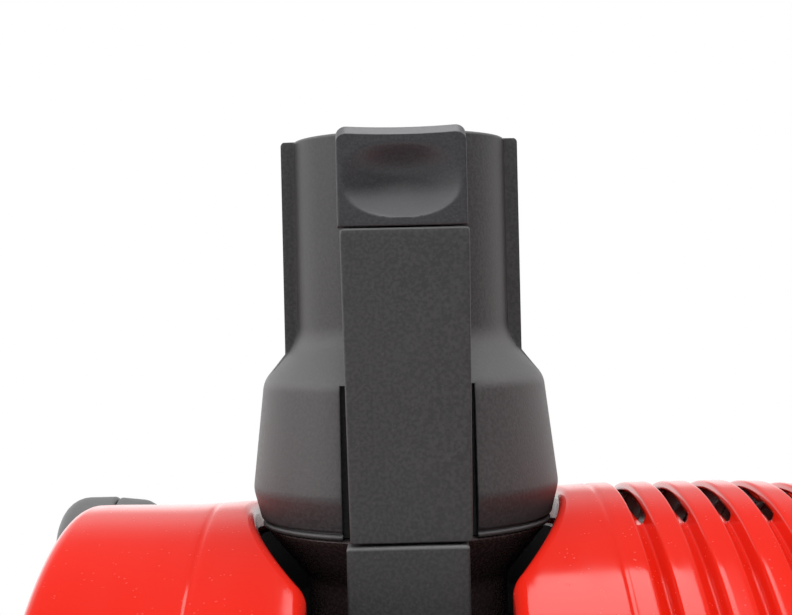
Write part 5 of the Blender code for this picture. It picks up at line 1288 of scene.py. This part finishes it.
@dataclass
class Handle(Assembly):
    """The folding handle: brackets on the shells, arms with domed eyes, tube and grip."""

    def bracket(self, side: Side) -> None:
        """A lump that grows out of the shell's end round the axle, in soft steps."""
        s = side.value
        end, face = s * S.half_length, s * (S.arm_inner - S.gap)
        reach = 0.011 if side is Side.LEFT else 0.024
        line = [(face, 0), (face, S.eye_radius - 0.0002), (end - s * reach * 0.5, S.eye_radius - 0.0012),
                (end - s * reach * 0.85, S.eye_radius - 0.0035), (end - s * reach, S.eye_radius - 0.0070),
                (end - s * reach, 0)]
        profile = fillet(line, [0, 0.0010, 0.006, 0.004, 0.002, 0], 6)
        pivot = (S.pivot_back, S.pivot_height)
        lump = turned("lump", profile, centre=pivot, count=72, closed=False)
        low, high = sorted((face, s * (S.arm_outer - 0.002)))
        axle = slab("axle", circle(0.0060, 40, pivot), low, high, Axis.DRUM)
        name = side.name.lower()
        self.fit(joined(f"handle_bracket_{name}_lump", lump, axle), CHARCOAL, f"handle_bracket_{name}")
        low, high = sorted((s * (S.arm_outer - 0.0017), s * (S.arm_outer - 0.0001)))
        cap = slab("cap", circle(0.0090, 56, pivot), low, high, Axis.DRUM, (0.0006, 0.0006))
        slot = slab("slot", rounded_rect(0.0050, 0.0008, 0.0002, pivot),
                    *sorted((s * (S.arm_outer - 0.0008), s * (S.arm_outer + 0.001))),
                    Axis.DRUM, KNIFE, 1)
        self.fit(carved(cap, slot, edge=0.00012), ZINC,
                 f"handle_cap_{name}").name = f"handle_cap_{name}_screw"

    def arm(self, side: Side) -> None:
        """A tapering bar between eye and grip, its outer rim widely rounded."""
        s, name = side.value, side.name.lower()
        pivot = np.array([S.pivot_back, S.pivot_height])
        grip = np.array([S.grip_back, S.grip_height])
        way = grip - pivot
        along = math.atan2(way[1], way[0])
        fall = math.asin((S.eye_radius - S.grip_radius) / float(np.linalg.norm(way)))
        first = np.linspace(along + math.pi / 2 - fall, along + 1.5 * math.pi + fall, 48)
        second = np.linspace(along - math.pi / 2 + fall, along + math.pi / 2 - fall, 36)
        eye = pivot + S.eye_radius * np.stack([np.cos(first), np.sin(first)], 1)
        heel = grip + S.grip_radius * np.stack([np.cos(second), np.sin(second)], 1)
        between = np.linspace(0, 1, 14)[1:-1, None]
        outline = np.vstack([eye, eye[-1] + (heel[0] - eye[-1]) * between, heel,
                             heel[-1] + (eye[0] - heel[-1]) * between])
        low, high = sorted((s * S.arm_inner, s * S.arm_outer))
        rims = (0.0100, 0.0012) if side is Side.LEFT else (0.0012, 0.0100)
        bar = slab(f"handle_arm_{name}_bar", outline, low, high, Axis.DRUM, rims, 8,
                   tuple(min(r, 0.0088) for r in rims))
        counter = slab("counter", circle(0.0097, 56, tuple(pivot)),
                       *sorted((s * (S.arm_outer - 0.0022), s * (S.arm_outer + 0.01))),
                       Axis.DRUM, KNIFE, 1)
        bore = slab("bore", circle(0.0062, 40, tuple(pivot)), *sorted((s * 0.1, s * 0.2)), Axis.DRUM, KNIFE,
                    1)
        socket = slab("socket", circle(0.0093, 48, tuple(grip)),
                      *sorted((s * 0.1, s * (S.arm_inner + 0.0122))), Axis.DRUM,
                      KNIFE, 1)
        carved(bar, counter, bore, socket)
        self.fit(bar, CHARCOAL, f"handle_arm_{name}", body="handle")

    def build(self) -> None:
        """Builds both sides, the tube and the ribbed grip."""
        for side in Side:
            self.bracket(side)
            self.arm(side)
        centre = (S.grip_back, S.grip_height)
        half = S.arm_inner + 0.0119
        tube = fillet([(-half, 0.0075), (-half, 0.0090), (half, 0.0090), (half, 0.0075)], 0.0003, 3,
                      closed=True)
        self.fit(turned("handle_tube_steel", tube, centre=centre, count=64), STEEL, "handle_tube",
                 body="handle")
        x = np.linspace(-0.0960, 0.0960, 385)
        finger = 0.0012 * np.abs(np.sin(math.pi * x / 0.0480))
        rib = 0.00035 * (0.5 - 0.5 * np.cos(2 * math.pi * x / 0.0030)) * smooth_step(0.090, 0.086, np.abs(x))
        rim = 0.0020 * (1 - np.sqrt(1 - smooth_step(0.0930, 0.0960, np.abs(x)) ** 2 * 0.98))
        outer = np.stack([x, S.grip_radius - finger - rib - rim], 1)
        profile = np.vstack([outer, [(0.0960, 0.0093), (-0.0960, 0.0093)]])
        self.fit(turned("handle_grip_sleeve", profile, centre=centre, count=72), RUBBER, "handle_grip",
                 body="handle")


@dataclass
class Controls(Assembly):
    """The left end: grille plate, rocker switch, speed dial, reset button and mains inlet."""

    switch: Pair = (-0.0740, 0.0260)
    dial: Pair = (-0.0740, -0.0260)
    reset: Pair = (-0.0300, -0.0720)
    inlet: Pair = (0.0340, -0.0700)

    def hole(self, outline: Array, low: float, high: float) -> Piece:
        """A cutter of an outline between two places along the barrel."""
        return slab("hole", outline, low, high, Axis.DRUM, KNIFE, 1)

    def plate(self) -> None:
        """The plate with a ring of grille slots, openings, a raised rim and six screws."""
        outer, inner = -S.plate_outer, -S.half_length - S.gap
        line = [(inner, 0), (inner, S.plate_radius), (outer, S.plate_radius - 0.0002),
                (outer, S.plate_radius - 0.0030),
                (outer + 0.0006, S.plate_radius - 0.0038), (outer + 0.0006, 0.0500), (outer, 0.0490),
                (outer, 0)]
        profile = fillet(line, [0, 0.0003, 0.0010, 0.0004, 0.0004, 0.0004, 0.0004, 0], 4)
        plate = turned("control_plate_grille", profile, count=144, closed=False)
        tools = []
        for turn in np.linspace(0, 2 * math.pi, 18, endpoint=False):
            way, side = np.array([math.sin(turn), math.cos(turn)]), np.array([math.cos(turn),
                                                                              -math.sin(turn)])
            wedge = [way * 0.012 - side * 0.0009, way * 0.042 - side * 0.0025, way * 0.042 + side * 0.0025,
                     way * 0.012 + side * 0.0009]
            outline = fillet(np.array(wedge), [0.0008, 0.0020, 0.0020, 0.0008], 4, closed=True)
            tools.append(self.hole(outline[::-1], outer - 0.005, inner + 0.005))
        tools.append(self.hole(rounded_rect(0.0083, 0.0133, 0.001, self.switch), outer - 0.005,
                               inner + 0.005))
        tools.append(self.hole(rounded_rect(0.0133, 0.0103, 0.001, self.inlet), outer - 0.005, inner + 0.005))
        tools.append(self.hole(circle(0.0045, 32, self.dial), outer - 0.005, inner + 0.005))
        tools.append(self.hole(circle(0.0073, 40, self.reset), outer - 0.005, inner + 0.005))
        carved(plate, *tools, edge=0.0003)
        self.fit(plate, BLACK, "control_plate")
        for k, turn in enumerate(np.radians(np.arange(30, 390, 60))):
            centre = (0.0965 * math.sin(turn), 0.0965 * math.cos(turn))
            head = turned("head", fillet([(outer + 0.0009, 0), (outer + 0.0009, 0.0032), (outer, 0.0029),
                                          (outer, 0)], [0, 0.0002, 0.0010, 0], 4), centre=centre, count=32,
                          closed=False)
            cross = [self.hole(rounded_rect(a, b, 0.0001, centre, 2), outer - 0.002, outer + 0.0005)
                     for a, b in ((0.0019, 0.00035), (0.00035, 0.0019))]
            self.fit(carved(head, *cross, edge=0.00006), ZINC).name = f"plate_screw_{k + 1}"

    def rocker(self) -> None:
        """The switch: a bezel with a deep mouth, and the rocker with its two generic marks."""
        outer, inner = -S.plate_outer, -S.half_length - S.gap
        y, z = self.switch
        bezel = slab("bezel", rounded_rect(0.0100, 0.0150, 0.0020, self.switch), outer - 0.0022,
                     outer - S.gap, Axis.DRUM,
                     (0.0008, 0.0002))
        body = slab("body", rounded_rect(0.0079, 0.0129, 0.0008, self.switch), outer - 0.0008, inner + 0.0200,
                    Axis.DRUM)
        carved(bezel, body, operation="UNION", edge=0.0)
        mouth = self.hole(rounded_rect(0.0069, 0.0117, 0.0006, self.switch), outer - 0.01, inner + 0.0100)
        carved(bezel, mouth, edge=0.0002)
        self.fit(bezel, BLACK, "switch_housing").name = "switch_bezel"
        turn = math.radians(8.0)
        pivot = -S.plate_outer + 0.0020
        line = [(0.0045, -0.003), (0.0045, 0.003), (-0.0005, 0.0102), (-0.0048, 0.0104), (-0.0040, 0.0055),
                (-0.0034, 0.0), (-0.0040, -0.0055), (-0.0048, -0.0104), (-0.0005, -0.0102)]
        shape = fillet(line, [0.001, 0.001, 0.0006, 0.0006, 0.006, 0.010, 0.006, 0.0006, 0.0006], 6,
                       closed=True)
        leaned = np.stack([shape[:, 0] * math.cos(turn) + shape[:, 1] * math.sin(turn),
                           -shape[:, 0] * math.sin(turn) + shape[:, 1] * math.cos(turn)], 1)
        across = np.array([-0.0064, -0.0062, 0.0062, 0.0064])
        rings = np.stack([np.stack([pivot + leaned[:, 0], np.full(len(leaned), S.axis_y + y + a),
                                    S.axis_z + z + leaned[:, 1]], -1)
                          for a in across])
        patch = Patchwork()
        index = patch.grid(rings, around=True)
        patch.cap(index[0])
        patch.cap(index[-1])
        self.fit(patch.build("switch_rocker_key", 30.0), RED, "switch_rocker", body="rocker")
        normal = np.array([-math.cos(turn), 0.0, math.sin(turn)])
        up = np.array([math.sin(turn), 0.0, math.cos(turn)])
        for name, offset, outline in (("on", 0.0062, rounded_rect(0.0004, 0.0017, 0.0002)),
                                      ("off", -0.0062, None)):
            spot = np.array([pivot, S.axis_y + y, S.axis_z + z]) + up * offset + normal * 0.00418
            patch = Patchwork()
            if outline is not None:
                ring = np.stack([spot + np.array([0, u, 0]) + up * v for u, v in outline])
                rows = np.stack([ring + normal * 0.00006, ring - normal * 0.0004])
                index = patch.grid(rows, around=True)
                patch.cap(index[0])
                patch.cap(index[-1])
            else:
                rings = []
                section = ((0.0017, -0.0004), (0.0017, 0.00006), (0.0011, 0.00006), (0.0011, -0.0004))
                for radius, lift in section:
                    rings.append(np.stack([spot + np.array([0, u, 0]) + up * v + normal * lift
                                           for u, v in circle(radius, 32)]))
                patch.grid(np.stack(rings), around=True, along=True)
            self.fit(patch.build(f"rocker_mark_{name}"), PRINT, body="rocker")

    def knob(self) -> None:
        """The dial: a fluted knob with a pointer line, and growing dots round it on the plate."""
        outer = -S.plate_outer
        line = [(outer - S.gap, 0), (outer - S.gap, 0.0160), (outer - 0.0023, 0.0160),
                (outer - 0.0033, 0.0146),
                (outer - 0.0123, 0.0131), (outer - 0.0133, 0.0118), (outer - 0.0127, 0.0090),
                (outer - 0.0127, 0)]
        profile = fillet(line, [0, 0.0003, 0.0008, 0.0006, 0.0010, 0.0006, 0.002, 0], 5)
        dial = turned("speed_dial_knob", profile, centre=self.dial, count=240, closed=False)
        flutes = []
        for turn in np.linspace(0, 2 * math.pi, 24, endpoint=False) + math.pi / 24:
            at = (self.dial[0] + 0.0150 * math.sin(turn), self.dial[1] + 0.0150 * math.cos(turn))
            flutes.append(self.hole(circle(0.0012, 16, at), outer - 0.02, outer - 0.0042))
        carved(dial, *flutes, edge=0.0002)
        self.fit(dial, BLACK, "speed_dial", body="dial")
        mark = slab("speed_dial_mark", rounded_rect(0.0006, 0.0034, 0.0003,
                                                    (self.dial[0], self.dial[1] + 0.0076)),
                    outer - 0.0134, outer - 0.0124, Axis.DRUM, (0.0001, 0.0001), 2)
        self.fit(mark, PRINT, body="dial")
        dots = []
        for k, turn in enumerate(np.radians(np.linspace(0, 270, 10))):
            at = (self.dial[0] - 0.0192 * math.sin(turn), self.dial[1] + 0.0192 * math.cos(turn))
            dots.append(slab("dot", circle(0.0004 + 0.00008 * k, 20, at), outer + 0.00052, outer + 0.0009,
                             Axis.DRUM,
                             (0.00002, 0.00002), 1))
        self.fit(joined("dial_scale_dots", *dots), PRINT)
        self.dress(STEEL, "speed_control")

    def rest(self) -> None:
        """The reset button in its collar, the inlet with three pins, and the board behind."""
        outer, inner = -S.plate_outer, -S.half_length - S.gap
        line = [(outer - 0.0012, 0.0053), (outer - 0.0012, 0.0090), (outer - S.gap, 0.0090),
                (outer - S.gap, 0.0070),
                (inner + 0.0150, 0.0070), (inner + 0.0150, 0), (inner + 0.0080, 0), (inner + 0.0080, 0.0053)]
        collar = turned("breaker_collar", fillet(line, [0.0004, 0.0006, 0.0002, 0, 0.0004, 0, 0, 0], 4),
                        centre=self.reset,
                        count=64, closed=True)
        self.fit(collar, BLACK, "breaker_body")
        line = [(outer + 0.0060, 0), (outer + 0.0060, 0.0049), (outer - 0.0042, 0.0049),
                (outer - 0.0038, 0.0030),
                (outer - 0.0036, 0)]
        button = turned("reset_button_cap", fillet(line, [0, 0.0003, 0.0008, 0.004, 0], 6), centre=self.reset,
                        count=56,
                        closed=False)
        self.fit(button, RED, "reset_button", body="reset")
        rim = slab("power_inlet_frame", rounded_rect(0.0150, 0.0120, 0.0030, self.inlet), outer - 0.0018,
                   outer - S.gap,
                   Axis.DRUM, (0.0008, 0.0002))
        body = slab("body", rounded_rect(0.0129, 0.0099, 0.0010, self.inlet), outer - 0.0008, inner + 0.0220,
                    Axis.DRUM)
        carved(rim, body, operation="UNION", edge=0.0)
        socket = self.hole(rounded_rect(0.0110, 0.0080, 0.0030, self.inlet), outer - 0.0220, inner + 0.0180)
        carved(rim, socket, edge=0.0003)
        self.fit(rim, BLACK, "power_inlet")
        for k, (y, z) in enumerate(((-0.0070, -0.0015), (0.0, 0.0020), (0.0070, -0.0015))):
            at = (self.inlet[0] + y, self.inlet[1] + z)
            pin = slab(f"inlet_pin_{k + 1}", rounded_rect(0.0010, 0.0020, 0.0004, at), inner + 0.0050,
                       inner + 0.0200,
                       Axis.DRUM, (0.0005, 0.0002))
            self.fit(pin, ZINC)
        self.dress(BOARD, "speed_board")

    def build(self) -> None:
        """Builds the pieces of the left end."""
        self.plate()
        self.rocker()
        self.knob()
        self.rest()


@dataclass
class Intake(Assembly):
    """The right end: filter cover with its knob; the basket, foam and bell behind it."""

    def build(self) -> None:
        """Turns the cover with raised rings and the knob with its grip bar."""
        outer, inner = S.plate_outer, S.half_length + S.gap
        line = [(inner, 0.0043), (inner, S.plate_radius), (outer, S.plate_radius - 0.0002), (outer, 0.0900),
                (outer - 0.0012, 0.0880), (outer - 0.0012, 0.0330), (outer, 0.0310), (outer, 0.0043)]
        profile = fillet(line, [0.0001, 0.0003, 0.0012, 0.0008, 0.0006, 0.0006, 0.0008, 0.0001], 5,
                         closed=True)
        rings = [slab("ring", circle(r + 0.0012, 128), outer - 0.0016, outer - 0.0004, Axis.DRUM,
                      (0.0003, 0.0004))
                 for r in (0.046, 0.058, 0.070)]
        cover = turned("filter_cover_disc", profile, count=160)
        for r, ring in zip((0.046, 0.058, 0.070), rings):
            core = slab("core", circle(r - 0.0012, 128), outer - 0.0030, outer + 0.002, Axis.DRUM, KNIFE, 1)
            carved(ring, core, edge=0.0002)
            carved(cover, ring, operation="UNION", edge=0.0)
        self.fit(cover, BLACK, "filter_cover")
        base, height, radius = outer + S.gap, 0.0140, 0.0240
        crown = height * 0.75
        line = [(0, 0), (0, radius), (height * 0.36, radius), (height * 0.45, radius - 0.0012),
                (crown, radius - 0.0032),
                (crown - 0.0004, 0)]
        knob = turned("cover_knob_wheel", fillet(line, [0, 0.0006, 0.0012, 0.0010, 0.0016, 0],
                                                 6) + (base, 0.0), count=240,
                      closed=False, waves=(24, 0.035))
        bar = slab("bar", rounded_rect(radius - 0.0035, 0.0045, 0.0040), base + crown - 0.002, base + height,
                   Axis.DRUM,
                   (0.0002, 0.0012), 5)
        carved(knob, bar, operation="UNION", edge=0.0)
        self.fit(knob, CHARCOAL, "cover_knob", body="knob")
        self.dress(BLACK, "inlet_bell", "filter_basket")
        self.dress(FOAM, "foam_filter")
        self.dress(STEEL, "cover_stud")


@dataclass
class Drive(Assembly):
    """The fan and its motor, which show through the grille and the slots only."""

    def build(self) -> None:
        """Dresses the solids of the fan and the motor."""
        self.dress(BLACK, "scroll_motor_half", "scroll_inlet_half", "impeller", "motor_bridge")
        self.dress(CAST, "motor_can", "motor_mount_ring")
        self.dress(STEEL, "motor_shaft", "front_bearing", "rear_bearing", "impeller_nut")
        self.dress(LAMINATE, "stator_core", "armature_core")
        self.dress(COPPER, "field_coil_left", "field_coil_right")
        self.dress(COPPER_ROUND, "armature_winding_left", "armature_winding_right", "commutator")
        self.dress(CARBON, "brush_back", "brush_front")


@dataclass
class Base(Assembly):
    """The cradle under the barrel and its feet."""

    def build(self) -> None:
        """Cuts the barrel's seat out of a rounded block, and turns the feet."""
        high = S.axis_z - math.sqrt(S.right_radius**2 - 0.082**2) + 0.004
        block = slab("cradle_base_block", rounded_rect(0.0900, 0.0820, 0.0180, steps=12), 0.0080, high,
                     Axis.PLAN,
                     (0.0020, 0.0004))
        turn = np.linspace(0, 2 * math.pi, 180, endpoint=False)
        line = np.array([(-0.2, 0.0), (-0.2, 0.1318), (-0.0775, 0.1334), (-0.0540, 0.1342), (-0.0508, 0.1342),
                         (-0.0508, 0.1293), (-0.0042, 0.1293), (-0.0042, 0.1353), (0.0240, 0.1365),
                         (0.0947, 0.1365),
                         (0.2, 0.1365), (0.2, 0.0)])
        patch = Patchwork()
        patch.grid(on_drum(line[:, :1], line[:, 1:], turn), around=True)
        carved(block, patch.build("seat"), edge=0.0008)
        self.fit(block, BLACK, "cradle_base")
        for end, x in (("left", -0.0700), ("right", 0.0700)):
            for side, y in (("front", -0.0620), ("back", 0.0620)):
                line = [(0.0, 0.0), (0.0, 0.0132), (0.0005, 0.0140), (0.0077, 0.0120), (0.0077, 0.0)]
                profile = fillet(line, [0, 0.0006, 0.0008, 0.0004, 0], 4)
                x_axis = x - S.port_x
                foot = turned("foot", profile - (S.axis_z + S.lip_radius, 0.0), Axis.PORT, (x_axis, y), 48,
                              closed=False)
                foot.name = f"rubber_foot_{side}_{end}_pad"
                self.fit(foot, RUBBER, f"rubber_foot_{side}_{end}")


# ---------------------------------------------------------------- studio
@dataclass
class Studio:
    """Camera, floor, lights and background of a white product studio."""

    lens: float = 69.1
    sensor: float = 36.0
    eye: Triple = (-0.0291, -0.4217, 0.3364)
    roll: float = -1.3

    def camera(self) -> None:
        """A level camera in front of the port with the photograph's slight roll."""
        made = bpy.data.objects.new("camera", bpy.data.cameras.new("camera"))
        bpy.context.scene.collection.objects.link(made)
        made.data.lens, made.data.sensor_width = self.lens, self.sensor
        made.data.clip_start, made.data.clip_end = 0.01, 50.0
        made.location = self.eye
        made.rotation_mode = "QUATERNION"
        level = Matrix.Rotation(math.radians(90), 3, "X")
        made.rotation_quaternion = (level @ Matrix.Rotation(math.radians(self.roll), 3, "Z")).to_quaternion()
        bpy.context.scene.camera = made

    def floor(self) -> None:
        """A round floor that fades into the white background."""
        patch = Patchwork()
        radius = np.array([0.0, 0.05, 0.2, 0.4, 0.7, 1.15])[:, None]
        turn = np.linspace(0, 2 * math.pi, 96, endpoint=False)[None, :]
        patch.grid(np.stack(np.broadcast_arrays(radius * np.cos(turn), radius * np.sin(turn), -0.0001), -1),
                   around=True)
        made = patch.build("floor", skin=True)
        graph = Graph("pale_floor")
        tree = graph.tree
        split = tree.nodes.new("ShaderNodeSeparateXYZ")
        tree.links.new(graph.place, split.inputs[0])
        square = [graph.sum("MULTIPLY", split.outputs[i], split.outputs[i]) for i in (0, 1)]
        far = graph.sum("SQRT", graph.sum("ADD", square[0], square[1]))
        light = tree.nodes.new("ShaderNodeLightPath")
        seen = graph.sum("MAXIMUM", light.outputs["Is Camera Ray"], light.outputs["Is Glossy Ray"])
        tone = graph.mix(seen, (0.34, 0.34, 0.34), (0.86, 0.86, 0.86))
        graph.surface(Base_Color=tone, Roughness=0.6, Specular_IOR_Level=0.2)
        share = graph.sum("MULTIPLY", graph.span(far, 0.35, 0.95), seen)
        glow = tree.nodes.new("ShaderNodeEmission")
        blend = tree.nodes.new("ShaderNodeMixShader")
        tree.links.new(share, blend.inputs[0])
        tree.links.new(graph.shader.outputs[0], blend.inputs[1])
        tree.links.new(glow.outputs[0], blend.inputs[2])
        output = next(n for n in tree.nodes if n.bl_idname == "ShaderNodeOutputMaterial")
        tree.links.new(blend.outputs[0], output.inputs[0])
        made.data.materials.append(graph.material)

    def lamp(self, name: str, place: Sequence[float], target: Sequence[float], size: Pair,
             radiance: float) -> None:
        """A soft rectangular light that looks at a point; its power is radiance * pi * area."""
        data = bpy.data.lights.new(name, "AREA")
        data.shape, data.size, data.size_y = "RECTANGLE", *size
        data.energy = radiance * math.pi * size[0] * size[1]
        made = bpy.data.objects.new(name, data)
        bpy.context.scene.collection.objects.link(made)
        made.location = place
        made.rotation_mode = "QUATERNION"
        made.rotation_quaternion = (Vector(target) - Vector(place)).to_track_quat("-Z", "Y")

    def sky(self) -> None:
        """White for the camera; for reflections and fill, a gradient by direction, bright low down behind.

        Below and overhead the reflections see less light, and the fill grows with height.
        """
        scene = bpy.context.scene
        scene.world = bpy.data.worlds.new("studio")
        scene.world.use_nodes = True
        tree = scene.world.node_tree
        tree.nodes.clear()

        def add(kind: str, inputs: dict[int | str, object], output: int | str = 0,
                **settings: object) -> Socket:
            """Adds a node to the world's tree."""
            node = tree.nodes.new("ShaderNode" + kind)
            for key, value in settings.items():
                setattr(node, key, value)
            for key, value in inputs.items():
                if isinstance(value, Socket):
                    tree.links.new(value, node.inputs[key])
                else:
                    node.inputs[key].default_value = value
            return node.outputs[output]

        way = add("TexCoord", {}, "Generated")
        split = tree.nodes.new("ShaderNodeSeparateXYZ")
        tree.links.new(way, split.inputs[0])
        side, depth, rise = split.outputs
        low_band = add("MapRange", {0: rise, 1: 0.08, 2: 0.27, 3: 1.0, 4: 0.0},
                       interpolation_type="SMOOTHSTEP")
        behind = add("MapRange", {0: depth, 1: -0.1, 2: 0.35, 3: 0.0, 4: 1.0},
                     interpolation_type="SMOOTHSTEP")
        band = add("Math", {0: low_band, 1: behind}, operation="MULTIPLY")
        front = add("MapRange", {0: depth, 1: -0.9, 2: 0.1, 3: 0.30, 4: 0.40})
        left = add("MapRange", {0: side, 1: -0.9, 2: 0.5, 3: 0.50, 4: 0.0}, interpolation_type="SMOOTHSTEP")
        above = add("MapRange", {0: rise, 1: -0.35, 2: 0.15, 3: 0.25, 4: 1.0},
                    interpolation_type="SMOOTHSTEP")
        both = add("Math", {0: front, 1: left}, operation="ADD")
        fall = add("MapRange", {0: rise, 1: 0.30, 2: 0.62, 3: 1.0, 4: 0.35}, interpolation_type="SMOOTHSTEP")
        lit = add("Math", {0: both, 1: above}, operation="MULTIPLY")
        dim = add("Math", {0: lit, 1: fall}, operation="MULTIPLY")
        bright = add("Math", {0: band, 1: 0.72}, operation="MULTIPLY")
        shine = add("Math", {0: dim, 1: bright}, operation="ADD")
        ray = tree.nodes.new("ShaderNodeLightPath").outputs
        white = add("Math", {0: ray["Is Camera Ray"], 1: ray["Is Transmission Ray"]}, operation="MAXIMUM")
        soft = add("MapRange", {0: rise, 1: -0.2, 2: 0.7, 3: 0.05, 4: 1.25}, interpolation_type="SMOOTHSTEP")
        fill = add("Mix", {0: ray["Is Glossy Ray"], 2: soft, 3: shine}, 0)
        strength = add("Mix", {0: white, 2: fill, 3: 1.0}, 0)
        glow = add("Background", {"Color": (1, 1, 1, 1), "Strength": strength})
        tree.links.new(glow, tree.nodes.new("ShaderNodeOutputWorld").inputs[0])

    def build(self) -> None:
        """Sets the stage."""
        self.camera()
        self.floor()
        self.lamp("overhead", (0.06, 0.0, 1.25), (0.06, 0.0, 0.2), (0.40, 1.0), 3.4)
        self.lamp("left", (-1.2, -0.4, 0.6), (0.0, 0.0, 0.25), (0.8, 0.8), 1.6)
        self.lamp("front", (0.1, -1.3, 0.9), (0.0, 0.0, 0.25), (1.0, 0.6), 0.55)
        self.sky()
        bpy.context.scene.view_settings.view_transform = "Standard"


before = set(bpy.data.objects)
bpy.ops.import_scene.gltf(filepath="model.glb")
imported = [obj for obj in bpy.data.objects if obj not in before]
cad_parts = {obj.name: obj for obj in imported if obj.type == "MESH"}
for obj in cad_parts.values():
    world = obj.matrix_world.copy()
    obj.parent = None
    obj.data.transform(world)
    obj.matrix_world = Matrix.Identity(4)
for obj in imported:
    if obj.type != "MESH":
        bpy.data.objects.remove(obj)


def main() -> None:
    """Builds the sub-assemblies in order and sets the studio."""
    logging.basicConfig(level=logging.INFO, format="%(message)s")
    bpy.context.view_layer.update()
    for part in (LeftShell(), RightShell(), Channel(), Outlet(), Port(), Latch(), Handle(), Controls(),
                 Intake(), Drive(),
                 Base()):
        log.info("%s", type(part).__name__)
        part.build()
    Studio().build()


if __name__ == "__main__":
    main()
